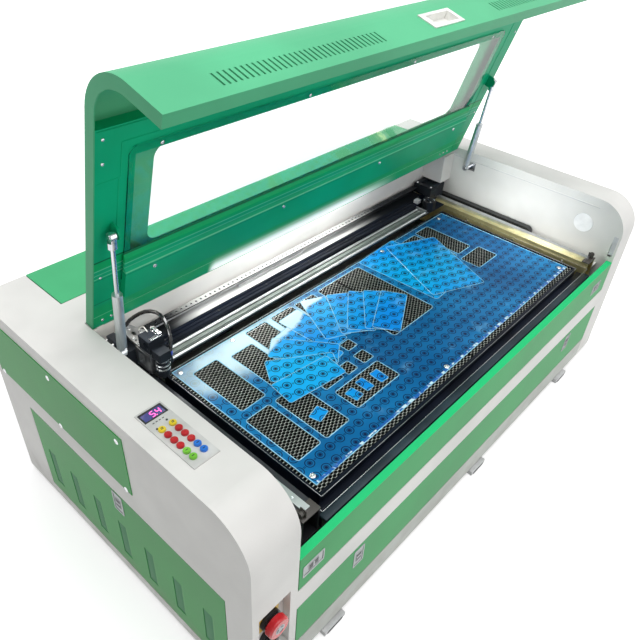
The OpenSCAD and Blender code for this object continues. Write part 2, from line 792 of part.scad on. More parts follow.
module strut_tubes()
    color("silver")
    for (x = [bay_x0 + strut_x, bay_x1 - strut_x])
        strut_pose(x)
        difference() {
            union() {
                translate([-eye_w / 2, 0, 0]) rotate([0, 90, 0]) cylinder(r = eye_r, h = eye_w);
                translate([0, 0, 6]) cylinder(r = 5, h = 10);
                translate([0, 0, 14]) cylinder(r = strut_d / 2, h = tube_l - 14);
            }
            translate([-eye_w, 0, 0]) rotate([0, 90, 0])
                cylinder(r = ball_r + pin_play, h = 2 * eye_w);
            translate([0, 0, 18]) cylinder(r = rod_d / 2 + pin_play, h = tube_l);
        }

module strut_rods() {
    color("lightgray")
    for (x = [bay_x0 + strut_x, bay_x1 - strut_x])
        strut_pose(x)
        difference() {
            union() {
                translate([0, 0, tube_l - 34]) cylinder(r = rod_d / 2, h = strut_l - tube_l + 30);
                translate([0, 0, strut_l - 22]) cylinder(r = eye_r, h = 20);
                translate([-eye_w / 2, 0, strut_l]) rotate([0, 90, 0])
                    cylinder(r = eye_r, h = eye_w);
            }
            // The socket is milled flat beside its stud
            for (s = [-1, 1])
                translate([s * (eye_w / 2 + 5) - 5, -10, strut_l - 10]) cube([10, 20, 20]);
        }
    // Ball stud held in each socket, up to the lid's bracket
    color("silver")
    for (s = [0, 1]) {
        xe = s ? bay_x1 - strut_x : bay_x0 + strut_x;
        dir = s ? -1 : 1;
        xn = xe - dir * (eye_w / 2 + 1);
        xf = xe + dir * (eye_w / 2 + 3 - run_gap);
        rod_x(min(xn, xf), max(xn, xf), eye_open[0], eye_open[1], ball_r);
    }
}

// ---------------------------------------------------------------- bed

module y_rails()
    color("tan") {
        // The left rail has a ledge to the cabinet's wall
        y_rail(motion_cx - rail_x, 1);
        span([bay_x0, motion_cx - rail_x - rail_w + eps], [rail_y0, y_wall],
             [rail_z1 - 6, rail_z1]);
        y_rail(motion_cx + rail_x, -1);
        for (s = [-1, 1]) {
            xc = motion_cx + s * (rail_x + rail_w / 2);
            span([xc - guide_w / 2, xc + guide_w / 2], [rail_y0 + 10, y_wall],
                 [rail_z1, rail_z1 + guide_h]);
        }
    }

// One rail: a hollow aluminium section whose foot reaches under the bed frame
module y_rail(x_in, dir) {
    x_out = x_in - dir * rail_w;
    difference() {
        span([min(x_in, x_out), max(x_in, x_out)], [rail_y0, y_wall], [rail_z0, rail_z1]);
        span([min(x_in, x_out) + 4, max(x_in, x_out) - 4], [rail_y0 - 1, y_wall + 1],
             [rail_z0 + 4, rail_z1 - 4]);
    }
    span([min(x_in - dir * eps, x_in + dir * 34), max(x_in - dir * eps, x_in + dir * 34)],
         [rail_y0 + 20, y_wall - 30], [rail_z0, rail_z0 + 6]);
}

module y_chain_tray()
    color("gray") {
        x0 = motion_cx + rail_x + rail_w;
        span([x0, bay_x1], [rail_y0, y_wall], [rail_z1 - 28, rail_z1 - 26]);
        span([x0, x0 + 2], [rail_y0, y_wall], [rail_z1 - 28, rail_z1 - 4]);
    }

module bed_frame()
    color("#15181a") {
        x0 = motion_cx - bed_l / 2;
        x1 = motion_cx + bed_l / 2;
        difference() {
            span([x0, x1], [bed_y0, bed_y0 + bed_d], [bed_z0, bed_z1]);
            span([x0 + bed_wall, x1 - bed_wall], [bed_y0 + bed_wall, bed_y0 + bed_d - bed_wall],
                 [bed_z0 - 1, bed_z1 + 1]);
        }
        // Ledge inside the frame that the honeycomb stands on
        difference() {
            span([x0 + 1, x1 - 1], [bed_y0 + 1, bed_y0 + bed_d - 1], [bed_z0 + 16, bed_z0 + 19]);
            span([x0 + 20, x1 - 20], [bed_y0 + 20, bed_y0 + bed_d - 20],
                 [bed_z0 + 15, bed_z0 + 20]);
        }
        // Cross bar in front of the bed
        span([x0 - 20, x1 + 20], [bed_y0 - 24, bed_y0], [bed_z0 + 2, bed_z1 - 20]);
    }

// Open honeycomb of the bed: rows of hexagonal cells, every other row half a cell along
module honeycomb()
    color("darkslategray") {
        x0 = motion_cx - bed_l / 2 + bed_wall + run_gap;
        y0 = bed_y0 + bed_wall + run_gap;
        w = bed_l - 2 * bed_wall - 2 * run_gap;
        d = bed_d - 2 * bed_wall - 2 * run_gap;
        nx = floor((w - 24) / cell);
        row = cell * sqrt(3) / 2;
        ny = floor((d - 24) / row);
        translate([0, 0, bed_z0 + 19]) linear_extrude(bed_z1 - bed_z0 - 19)
            difference() {
                translate([x0, y0]) square([w, d]);
                for (j = [0 : ny - 1], i = [0 : nx - 1 - (j % 2)])
                    translate([x0 + (w - nx * cell) / 2 + (i + 0.5 + (j % 2) / 2) * cell,
                               y0 + (d - (ny - 1) * row) / 2 + j * row])
                        rotate(30) circle(r = cell / sqrt(3) - 1.4, $fn = 6);
            }
    }

module film_sheet()
    color("deepskyblue")
    translate([0, 0, film_z]) linear_extrude(film_t)
        difference() {
            translate([film_x0, film_y0]) square([film_x1 - film_x0, film_y1 - film_y0]);
            for (c = CUTS)
                round_rect([motion_cx + c[0], bed_y0 + c[1]],
                           [motion_cx + c[0] + c[2], bed_y0 + c[1] + c[3]], c[4]);
        }

// Cut-outs already made in the film, from the bed's front and from the motion's
// middle: x, y, width, length, corner radius
PHONE = [64, 148, 6];
TABLET = [155, 235, 8];
WATCH = [31, 30, 4];
CUTS = [
    [-478, 77, 62, 137, 6], [-466, 236, 64, 148, 6],
    [-402, 76, 66, 137, 6], [-376, 220, 61, 150, 6],
    [-303, 256, 62, 150, 6], [-226, 256, 68, 150, 6],
    [-151, 256, 65, 147, 6], [-70, 168, 156, 235, 8],
    [334, 256, 60, 144, 6], [268, 256, 58, 140, 6], [316, 181, 92, 58, 6],
    [-184, 207, 31, 27, 4], [-190, 158, 32, 32, 4], [-241, 159, 31, 30, 4],
    [-307, 161, 54, 37, 4], [-301, 84, 137, 61, 6]];

// Cut protectors that lie fanned out over the film: x, y, turn, layer, size
PIECES = [
    [186, -17, 3.2, 0, TABLET], [240, -44, -23, 1, TABLET],
    [-238, -39.5, 9.4, 0, PHONE], [-186, -8, 3, 1, PHONE], [-132, 3, -23.6, 2, PHONE],
    [-83, -21, -34.5, 3, PHONE], [-53, -40, -51, 4, PHONE], [-23, -65, -49, 5, PHONE],
    [-5, -88, -60, 6, PHONE], [-252, -44, 38, 2, PHONE], [-293, -77, 57, 3, PHONE],
    [-309, -111, 83, 4, PHONE]];

// Small pieces left inside their own cut-outs: x, y, turn, width, length
SCRAPS = [[-366, -189, 14, 34, 26], [-276, -203, 6, 24, 30], [-239, -200, 0, 22, 34],
          [-198, -205, -3, 23, 34]];

piece_t = 0.5;

module cut_protectors()
    color("skyblue") {
        for (p = PIECES)
            translate([motion_cx + p[0], p[1] + bed_y0 + 318, film_z + film_t + p[3] * piece_t])
                rotate([0, 0, p[2]]) linear_extrude(piece_t)
                    round_rect([-p[4][0] / 2, -p[4][1] / 2], [p[4][0] / 2, p[4][1] / 2], p[4][2]);
        for (p = SCRAPS)
            translate([motion_cx + p[0], p[1] + bed_y0 + 318, film_z]) rotate([0, 0, p[2]])
                linear_extrude(piece_t)
                    round_rect([-p[3] / 2, -p[4] / 2], [p[3] / 2, p[4] / 2], 3);
    }

// ---------------------------------------------------------------- gantry

module gantry_beam()
    color("#1b1f26")
    difference() {
        union() {
            // Closed rear box, and the lower shelf under the guide
            span([motion_cx - beam_x, motion_cx + beam_x], [guide_y1, beam_y1], [beam_z0, beam_z1]);
            span([motion_cx - beam_x, motion_cx + beam_x], [beam_y0, guide_y1 + eps],
                 [beam_z0, beam_z0 + 3]);
        }
        // Hollow section
        span([motion_cx - beam_x - 1, motion_cx + beam_x + 1], [guide_y1 + 3, beam_y1 - 3],
             [beam_z0 + 3, beam_z1 - 3]);
        // Two grooves along the top
        for (y = [guide_y1 + 7, guide_y1 + 17])
            span([motion_cx - beam_x - 1, motion_cx + beam_x + 1], [y, y + 3],
                 [beam_z1 - 1.5, beam_z1 + 1]);
    }

// Guide of the head: a web with two bright rods along it
module x_guide_rail()
    color("silver") {
        difference() {
            span([guide_x0 + 2, guide_x1], [beam_y0 + 1, guide_y1], [beam_z0 + 3, guide_z1 - 2]);
            span([guide_x0, guide_x1 + 1], [beam_y0 + 8, beam_y0 + 15], [beam_z0 + 5, guide_z1]);
        }
        for (y = [beam_y0 + 4.5, guide_y1 - 5])
            rod_x(guide_x0 + 2, guide_x1, y, guide_z1 - 3, 3);
    }

// Carriages on the Y rails, each with a shoulder that the beam hangs from
module gantry_ends()
    color("#23262b") {
        for (s = [-1, 1]) {
            xi = motion_cx + s * (rail_x - end_in);
            xr = motion_cx + s * (rail_x + 0.5);
            xo = motion_cx + s * (rail_x + rail_w);
            xc = motion_cx + s * (rail_x + rail_w / 2);
            difference() {
                union() {
                    span([min(xi, xo), max(xi, xo)], [end_y0, tray_y1], [beam_z1, end_z1]);
                    span([min(xr, xo), max(xr, xo)], [end_y0, tray_y1],
                         [rail_z1 + run_gap, beam_z1 + eps]);
                }
                // Groove that runs along the rail's guide
                span([xc - guide_w / 2 - run_gap, xc + guide_w / 2 + run_gap],
                     [end_y0 - 1, tray_y1 + 1], [rail_z1, rail_z1 + guide_h + run_gap]);
                // Relief in the upper face
                span([min(xi, xo) + 14, max(xi, xo) - 14], [end_y0 + 12, tray_y1 - 12],
                     [end_z1 - 8, end_z1 + 1]);
            }
        }
        // Arm that tows the Y cable chain
        span([motion_cx + rail_x + rail_w - 6, bay_x1 - 8], [tray_y1 - 24, tray_y1 - 6],
             [beam_z1, beam_z1 + 4]);
    }

// Channel behind the beam for the X cable chain, with a slotted top flange
module x_chain_tray()
    color("gainsboro")
    difference() {
        along_x(tray_x0, tray_x1) {
            rect([beam_y1, beam_z1 - 4], [tray_y1, beam_z1 - 2]);
            rect([beam_y1, beam_z1 - 14], [beam_y1 + 2, beam_z1 - 2]);
            rect([tray_y1 - 2, beam_z1 - 4], [tray_y1, flange_z1]);
            rect([tray_y1 - 17, flange_z1 - 2], [tray_y1, flange_z1]);
        }
        for (i = [0 : 73])
            span([tray_x0 + 9 + i * 13.5, tray_x0 + 12 + i * 13.5],
                 [tray_y1 - 12, tray_y1 - 5], [flange_z1 - 3, flange_z1 + 1]);
    }

module x_motor() {
    xm = guide_x1 + 36;
    color("dimgray")
    difference() {
        union() {
            // Stepped motor body with cut corners, standing on the beam's shelf
            translate([xm, (beam_y0 + guide_y1) / 2 - 2, beam_z0 + 3])
                rotate(22.5) cylinder(r = 20, h = 28, $fn = 8);
            translate([xm, (beam_y0 + guide_y1) / 2 - 2, beam_z0 + 3])
                cylinder(r = 9, h = 31);
        }
        translate([xm, (beam_y0 + guide_y1) / 2 - 2, beam_z0 + 32])
            cylinder(r = 3, h = 3);
    }
    // Bright mounting bracket against the guide's end
    color("silver") {
        span([guide_x1, guide_x1 + 3], [beam_y0 + 1, guide_y1 - 1], [beam_z0 + 3, beam_z0 + 16]);
        span([guide_x1, xm - 14], [beam_y0 + 1, guide_y1 - 1], [beam_z0 + 3, beam_z0 + 5]);
    }
}

// ---------------------------------------------------------------- head

// Aluminium plate with cut corners that carries the head, and the bearing under it
module head_carriage()
    color("darkgray") {
        translate([0, 0, plate_z0]) linear_extrude(6)
            difference() {
                polygon([[head_x - 17, beam_y0 - 12], [head_x + 16, beam_y0 - 12],
                         [head_x + 21, beam_y0 - 4], [head_x + 26, beam_y0 + 48],
                         [head_x + 10, tray_y1 - 2], [head_x - 9, tray_y1 - 2],
                         [head_x - 15, beam_y0 + 54]]);
                for (p = [[-11, 8], [-9, 44], [17, 44], [0, 80]])
                    translate([head_x + p[0], beam_y0 + p[1]]) circle(2.2);
                // Slot for setting the plate
                round_rect([head_x - 3, beam_y0 + 58], [head_x + 3, beam_y0 + 70], 2.5);
            }
        // Bearing block over the two rods
        difference() {
            span([head_x - 17, head_x + 17], [beam_y0 - 1, guide_y1 - 0.5],
                 [guide_z1 - 5, plate_z0]);
            span([head_x - 18, head_x + 18], [beam_y0 + 0.7, guide_y1],
                 [guide_z1 - 6, guide_z1 + run_gap]);
            span([head_x - 18, head_x + 18], [beam_y0 + 8, guide_y1 - 9],
                 [guide_z1 + 12, plate_z0 - 8]);
        }
        // Front plate that carries the lens tube
        span([head_x - 17, head_x + 16], [beam_y0 - 11, beam_y0 - 1], [guide_z1 + 2, plate_z0 + eps]);
        // Arm that tows the X cable chain, down past the beam and over the channel's wall
        xa = head_x + 21.5;
        span([xa, xa + 4], [beam_y0 + 44.5, beam_y0 + 47.5], [beam_z1 + 4, plate_z0 + eps]);
        span([xa, xa + 4], [beam_y0 + 44.5, tray_y1 - 13], [beam_z1 + 4, beam_z1 + 8]);
    }

// Mirror mount over the lens tube, with its setting screws, and the nozzle
module laser_head()
    color("#202226") {
        difference() {
            span([head_x - 16, head_x + 19], [beam_y0 - 12, beam_y0 + 22],
                 [plate_z0 + 6, plate_z0 + 36]);
            // Beam port through the mount, and the slanting mirror seat
            rod_x(head_x - 30, head_x + 2, nozzle_y + 26, plate_z0 + 22, 8);
            translate([head_x + 19, beam_y0 - 13, plate_z0 + 6]) rotate([0, 45, 0])
                cube([14, 36, 14], center = false);
        }
        for (y = [beam_y0 - 6, beam_y0 + 4, beam_y0 + 14])
            translate([head_x + 13, y, plate_z0 + 35]) cylinder(r = 4, h = 8, $fn = 24);
        // Arm out to the lens tube
        span([head_x - 13, head_x + 13], [nozzle_y - 12, beam_y0 - 12],
             [plate_z0 - 2, plate_z0 + 18]);
        translate([head_x, nozzle_y, 0]) {
            translate([0, 0, beam_z0 + 13]) cylinder(r = 12, h = plate_z0 - beam_z0 - 8);
            translate([0, 0, beam_z0 + 22]) cylinder(r = 13.5, h = 9);
            // Cone with the bore for the beam and the air
            translate([0, 0, beam_z0 + 1])
                difference() {
                    cylinder(r1 = 3, r2 = 9, h = 13);
                    translate([0, 0, -1]) cylinder(r = 1.2, h = 10);
                }
        }
        // Elbow of the air line
        translate([head_x + 18, nozzle_y, plate_z0 - 22]) cylinder(r = 5.5, h = 20);
        rod_x(head_x, head_x + 18, nozzle_y, plate_z0 - 17, 4.5);
    }

// Rings along the air hose: from the plate's tail over and down to the elbow
HOSE = [[0, 90, 6], [0, 90, 9], [4, 90, 15], [9, 87, 22], [17, 82, 29], [25, 74, 37], [32, 64, 44],
        [37, 52, 49], [41, 40, 51], [42, 28, 51], [41, 16, 48], [39, 5, 43], [35, -6, 37],
        [31, -15, 30], [27, -21, 22], [23, -25, 13], [20, -27, 5], [18, -27, -2]];
hose_r = 4;
hose_n = 12;

module air_hose()
    color("black") {
        o = [head_x, beam_y0, plate_z0];
        m = len(HOSE);
        dirs = [for (i = [0 : m - 1])
                let (v = HOSE[min(i + 1, m - 1)] - HOSE[max(i - 1, 0)]) v / norm(v)];
        pts = [for (i = [0 : m - 1])
               let (d = dirs[i], u = cross(d, [1, 0, 0]) / norm(cross(d, [1, 0, 0])),
                    w = cross(d, u))
               for (j = [0 : hose_n - 1])
               o + HOSE[i] + hose_r * (cos(j * 360 / hose_n) * u + sin(j * 360 / hose_n) * w)];
        faces = concat([[for (j = [0 : hose_n - 1]) j]],
                       [for (i = [0 : m - 2], j = [0 : hose_n - 1])
                        [i * hose_n + j, (i + 1) * hose_n + j,
                         (i + 1) * hose_n + (j + 1) % hose_n, i * hose_n + (j + 1) % hose_n]],
                       [[for (j = [hose_n - 1 : -1 : 0]) (m - 1) * hose_n + j]]);
        polyhedron(pts, faces, convexity = 6);
    }

// ---------------------------------------------------------------- cable chains

// Outline of a cable chain that lies on one strand and is bent back over it.
// The bend is at the origin; both strands run towards -X. h is a link's height.
module chain_outline(top_l, low_l, h, inner, pitch) {
    for (i = [0 : floor(low_l / pitch) - 1]) {
        rect([-(i + 1) * pitch + 1.2, 0], [-i * pitch, h]);
        rect([-(i + 1) * pitch - eps, 1.5], [-i * pitch, h - 1.5]);
    }
    for (i = [0 : floor(top_l / pitch) - 1]) {
        rect([-(i + 1) * pitch + 1.2, h + inner], [-i * pitch, 2 * h + inner]);
        rect([-(i + 1) * pitch - eps, h + inner + 1.5], [-i * pitch, 2 * h + inner - 1.5]);
    }
    difference() {
        translate([0, h + inner / 2]) circle(h + inner / 2);
        translate([0, h + inner / 2]) circle(inner / 2);
        rect([-2 * h - inner, -1], [-eps, 2 * h + inner + 1]);
    }
}

module x_cable_chain()
    color("#1c1c1e")
    along_y(tray_y1 - 12, tray_y1 - 3)
        translate([tray_x0 + 492, beam_z1 - 2 + run_gap]) chain_outline(480, 220, 8, 2, 15);

module y_cable_chain()
    color("#1c1c1e")
    translate([motion_cx + rail_x + rail_w + 4, tray_y1 - 340, rail_z1 - 26 + run_gap])
        rotate([90, 0, 90]) linear_extrude(18)
            mirror([1, 0]) chain_outline(324, 174, 12, 7, 18);

// ---------------------------------------------------------------- inside the cabinet

tube_y = (y_wall + y_back) / 2 + 3;
tube_z = shelf_z + sheet_t + 20 + tube_d / 2;

module laser_tube()
    color("lavender", 0.6)
    translate([bay_cx - glass_l / 2 - 20, tube_y, tube_z]) rotate([0, 90, 0])
        rotate_extrude() {
            // Outer glass, inner bore and the end seals
            rect([tube_d / 2 - 2, 24], [tube_d / 2, glass_l + 16]);
            rect([tube_d / 2 - 18, 24], [tube_d / 2 - 16, glass_l + 16]);
            rect([0, 22], [tube_d / 2 - 1, 26]);
            rect([0, glass_l + 14], [tube_d / 2 - 1, glass_l + 18]);
            rect([0, 4], [9, 24]);
            rect([0, glass_l + 16], [11, glass_l + 30]);
            rect([0, glass_l + 29], [7, glass_l + 40]);
        }

module tube_clamps()
    color("royalblue")
    for (s = [-1, 1])
        translate([bay_cx + s * glass_l * 0.3, tube_y, 0])
            difference() {
                union() {
                    span([-12, 12], [-tube_d / 2 - 8, tube_d / 2 + 8],
                         [shelf_z + sheet_t, shelf_z + sheet_t + 8]);
                    span([-9, 9], [-tube_d / 2 - 4, tube_d / 2 + 4],
                         [shelf_z + sheet_t, tube_z]);
                    rod_x(-9, 9, 0, tube_z, tube_d / 2 + 4);
                }
                rod_x(-13, 13, 0, tube_z, tube_d / 2 + 0.05);
                for (y = [-tube_d / 2 - 1, tube_d / 2 + 1])
                    span([-10, 10], [y - 9, y + 9], [tube_z - 0.6, tube_z + 0.6]);
            }

module laser_power_supply()
    color("silver") {
        x0 = x_left + 20;
        x1 = bay_x0 - 14;
        y0 = y_front + 420;
        z0 = z_base + sheet_t;
        difference() {
            span([x0, x1], [y0, y0 + 260], [z0, z0 + 150]);
            // Fan opening and the slots beside it
            rod_y(y0 - 1, y0 + 12, (x0 + x1) / 2, z0 + 75, 26);
            for (i = [0 : 6])
                span([x0 + 8, x1 - 8], [y0 + 259, y0 + 262], [z0 + 30 + i * 12, z0 + 34 + i * 12]);
        }
        rod_y(y0 + 2, y0 + 12.5, (x0 + x1) / 2, z0 + 75, 9);
        // Terminal strip on top
        for (i = [0 : 5])
            span([x0 + 6, x1 - 6], [y0 + 200 + i * 8, y0 + 206 + i * 8], [z0 + 149, z0 + 158]);
    }

// Double-ended motor on the inner wall, and the cross shaft that drives both sides
module y_drive() {
    y = y_wall - 28.5;
    z = rail_z1 - 33;
    color("dimgray")
    difference() {
        span([motion_cx - 330, motion_cx - 274], [y - 28, y_wall], [z - 28, z + 28]);
        for (a = [-1, 1], b = [-1, 1])
            rod_x(motion_cx - 331, motion_cx - 273, y + a * 28, z + b * 28, 4);
    }
    color("silver") {
        rod_x(motion_cx - rail_x, motion_cx + rail_x, y, z, 6);
        for (s = [-1, 1]) {
            for (r = [[15, 5, 7], [12, 7, 17], [15, 17, 19]])
                rod_x(motion_cx + s * rail_x - (s > 0 ? r[2] : -r[1]),
                      motion_cx + s * rail_x - (s > 0 ? r[1] : -r[2]), y, z, r[0]);
            // Bearing plate on the rail's inner face
            xb = motion_cx + s * rail_x;
            span([min(xb, xb - s * 4), max(xb, xb - s * 4)], [y - 16, y + 16], [z - 16, z + 16]);
        }
    }
}

// Light bar behind the deck's front lip
module light_bar()
    color("lightyellow") {
        span([bay_x0 + 20, bay_x0 + 900], [y_deck + 7, y_deck + 27],
             [z_top - sheet_t - 3, z_top - sheet_t]);
        span([bay_x0 + 26, bay_x0 + 894], [y_deck + 10, y_deck + 24],
             [z_top - sheet_t - 9, z_top - sheet_t - 2.9]);
    }

// ---------------------------------------------------------------- controls

function button_pos(i) = [pad_x + button_cols[i % 2],
    pad_y0 + pad_l - button_row0 - floor(i / 2) * button_pitch];
button_z0 = z_top + pad_t - 14;

module keypad_plate()
    color("lightgray")
    difference() {
        union() {
            span([pad_x - pad_w / 2, pad_x + pad_w / 2], [pad_y0, pad_y0 + pad_l],
                 [z_top, z_top + pad_t]);
            span([pad_x - pad_w / 2 + 3.5, pad_x + pad_w / 2 - 3.5],
                 [pad_y0 + 3.5, pad_y0 + pad_l - 3.5], [z_top - 22, z_top + eps]);
        }
        // Window of the display
        span([pad_x - 22, pad_x + 21.5], [pad_y0 + pad_l - 26, pad_y0 + pad_l - 3],
             [z_top + pad_t - 1.5, z_top + pad_t + 1]);
        for (i = [0 : 2 * button_rows - 1])
            translate([button_pos(i)[0], button_pos(i)[1], button_z0 - button_travel - 1])
                cylinder(r = button_r + pin_play, h = 30);
    }

// One push button: a stem with a slightly rounded cap
module push_button(i, c)
    color(c)
    translate([button_pos(i)[0], button_pos(i)[1], button_z0]) {
        cylinder(r = button_r, h = 17);
        cylinder(r = button_r - 1, h = 18);
    }

// Plates, collars and bodies of the stop button and of the switch under it
module estop_housing() {
    y = y_front + recess_d;
    color("gold")
    difference() {
        span([stop_x - 22.5, stop_x + 22.5], [y - 1.5, y], [stop_z - 22.5, stop_z + 22.5]);
        rod_y(y - 2, y + 1, stop_x, stop_z, 8 + pin_play);
    }
    color("#1c1c1e")
    difference() {
        union() {
            rod_y(y - 9, y - 1.4, stop_x, stop_z, 20);
            rod_y(y - 8, y, stop_x, key_z, 19);
            for (z = [stop_z, key_z]) {
                rod_y(y - 1, y + 26, stop_x, z, 10.5);
                rod_y(y + sheet_t, y + 6, stop_x, z, 14);
            }
        }
        rod_y(y - 10, y + 20, stop_x, stop_z, 8 + pin_play);
        rod_y(y - 10, y + 12, stop_x, key_z, 9 + pin_play);
    }
    color("silver")
    for (p = [[stop_z, y - 10.5, 17, 13], [key_z, y - 9.5, 16, 13]])
        difference() {
            rod_y(p[1], p[1] + 1.6, stop_x, p[0], p[2]);
            rod_y(p[1] - 1, p[1] + 3, stop_x, p[0], p[3]);
        }
}

module estop_button()
    color("red")
    translate([stop_x, y_front + recess_d - 13, stop_z]) rotate([90, 0, 0])
        rotate_extrude()
            difference() {
                union() {
                    rect([0, -24], [8, 1]);
                    rect([0, 0], [stop_d / 2 - 2, 15]);
                    rect([0, 2], [stop_d / 2, 11]);
                    translate([stop_d / 2 - 4, 11]) circle(4);
                }
                rect([-20, -30], [0, 30]);
                rect([-1, 13.5], [9, 17]);
            }

module key_switch()
    color("black")
    translate([stop_x, y_front + recess_d - 8, key_z]) rotate([90, 0, 0])
        difference() {
            union() {
                translate([0, 0, -14]) cylinder(r = 9, h = 18);
                translate([0, 0, 3]) cylinder(r = 12, h = 4);
                // Grip across the knob
                translate([-3.5, -11, 6]) cube([7, 22, 8]);
            }
            translate([-0.8, -5, 12]) cube([1.6, 10, 4]);
        }

module button_yellow_left() push_button(0, "gold");
module button_yellow_right() push_button(1, "gold");
module button_red_1() push_button(2, "firebrick");
module button_red_2() push_button(3, "firebrick");
module button_red_3() push_button(4, "firebrick");
module button_red_4() push_button(5, "firebrick");
module button_red_5() push_button(6, "firebrick");
module button_red_6() push_button(7, "firebrick");
module button_green_1() push_button(8, "seagreen");
module button_blue_1() push_button(9, "royalblue");
module button_green_2() push_button(10, "seagreen");
module button_blue_2() push_button(11, "royalblue");

button_yellow_left();
button_yellow_right();
button_red_1();
button_red_2();
button_red_3();
button_red_4();
button_red_5();
button_red_6();
button_green_1();
button_blue_1();
button_green_2();
button_blue_2();
base_frame();
feet();
front_frame();
left_cabinet();
right_cabinet();
rear_housing();
side_panels();
lid_fixings();
y_rails();
y_chain_tray();
bed_frame();
honeycomb();
film_sheet();
cut_protectors();
laser_tube();
tube_clamps();
laser_power_supply();
keypad_plate();
estop_housing();
y_drive();
light_bar();
rear_cover();
front_flap();
lower_door();
left_door();
flap_latch_left();
flap_latch_right();
door_latch_left();
door_latch_right();
side_latch();
lid_shell();
lid_lining();
lid_window();
lid_handle();
strut_tubes();
strut_rods();
gantry_beam();
x_guide_rail();
gantry_ends();
x_chain_tray();
x_motor();
head_carriage();
laser_head();
air_hose();
x_cable_chain();
y_cable_chain();
estop_button();
key_switch();
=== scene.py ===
"""Looks of a laser machine that cuts screen protectors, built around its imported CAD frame.

Every piece is in metres in the frame of the CAD model: the origin is on the floor under
the middle of the cabinet, X runs along the machine, +Y to its back and +Z up.
"""

import logging
import math
from dataclasses import dataclass, field
from enum import Enum
from typing import Sequence, Union

import bpy
import bmesh
import numpy as np
from mathutils import Matrix, Vector


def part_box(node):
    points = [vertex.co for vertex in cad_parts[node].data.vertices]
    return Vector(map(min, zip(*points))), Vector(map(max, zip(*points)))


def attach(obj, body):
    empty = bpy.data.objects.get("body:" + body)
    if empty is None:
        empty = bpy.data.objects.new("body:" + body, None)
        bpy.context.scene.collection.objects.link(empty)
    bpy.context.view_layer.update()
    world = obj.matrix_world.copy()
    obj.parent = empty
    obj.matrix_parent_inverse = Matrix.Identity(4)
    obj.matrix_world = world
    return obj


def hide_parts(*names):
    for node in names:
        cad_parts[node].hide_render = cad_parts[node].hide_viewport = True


logging.basicConfig(level=logging.INFO, format="%(message)s")
log = logging.getLogger("machine")
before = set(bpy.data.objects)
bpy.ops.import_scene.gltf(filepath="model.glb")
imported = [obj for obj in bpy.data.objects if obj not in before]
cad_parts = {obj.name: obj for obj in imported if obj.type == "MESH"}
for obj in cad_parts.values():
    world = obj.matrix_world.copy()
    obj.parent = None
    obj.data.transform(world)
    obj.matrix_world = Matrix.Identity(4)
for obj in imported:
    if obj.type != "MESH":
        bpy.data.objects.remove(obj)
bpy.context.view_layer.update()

Array = np.ndarray
Point = tuple[float, float, float]
Colour = tuple[float, float, float]
Number = Union[float, "Val"]
NONE: Colour = (0.0, 0.0, 0.0)


def rgb(red: int, green: int, blue: int) -> Colour:
    """Linear colour of a display colour whose channels run from 0 to 255."""
    return tuple((c / 255 / 12.92 if c < 11 else ((c / 255 + 0.055) / 1.055) ** 2.4)
                 for c in (red, green, blue))


def toned(colour: Colour, factor: float, lift: float = 0.0) -> Colour:
    """A colour made darker or paler by a factor, with a little light added."""
    return tuple(min(1.0, c * factor + lift) for c in colour)


# ------------------------------------------------------------------ shader maths


class Val:
    """A socket of a material's graph, on which Python's operators add Math nodes."""

    def __init__(self, graph: "Graph", socket: bpy.types.NodeSocket) -> None:
        """Keeps the graph and the socket."""
        self.graph, self.socket = graph, socket

    def _math(self, operation: str, a: Number, b: Number = 0.0) -> "Val":
        """Adds one Math node on a and b."""
        return self.graph.add("ShaderNodeMath", {"operation": operation}, {0: a, 1: b})

    def __add__(self, other: Number) -> "Val":
        """self + other"""
        return self._math("ADD", self, other)

    __radd__ = __add__

    def __sub__(self, other: Number) -> "Val":
        """self - other"""
        return self._math("SUBTRACT", self, other)

    def __rsub__(self, other: Number) -> "Val":
        """other - self"""
        return self._math("SUBTRACT", other, self)

    def __mul__(self, other: Number) -> "Val":
        """self * other"""
        return self._math("MULTIPLY", self, other)

    __rmul__ = __mul__

    def __pow__(self, other: Number) -> "Val":
        """self ** other"""
        return self._math("POWER", self, other)

    def __lt__(self, other: Number) -> "Val":
        """1 where self is under other."""
        return self._math("LESS_THAN", self, other)

    def __gt__(self, other: Number) -> "Val":
        """1 where self is over other."""
        return self._math("GREATER_THAN", self, other)

    def floor(self) -> "Val":
        """The whole number below."""
        return self._math("FLOOR", self)

    def fract(self) -> "Val":
        """The part after the point."""
        return self._math("FRACT", self)

    def size(self) -> "Val":
        """The value without its sign."""
        return self._math("ABSOLUTE", self)

    def top(self, other: Number) -> "Val":
        """The larger of two values."""
        return self._math("MAXIMUM", self, other)

    def low(self, other: Number) -> "Val":
        """The smaller of two values."""
        return self._math("MINIMUM", self, other)

    def step(self, start: float, end: float) -> "Val":
        """0 below start, 1 above end, and a smooth slope between them.

        Args:
            start: the value that gives 0.
            end: the value that gives 1; it may be the lower one.
        Returns:
            The share between the two.
        """
        if start > end:
            return 1 - self.step(end, start)
        return self.graph.add("ShaderNodeMapRange", {"interpolation_type": "SMOOTHSTEP"},
                              {0: self, 1: start, 2: end, 3: 0.0, 4: 1.0})


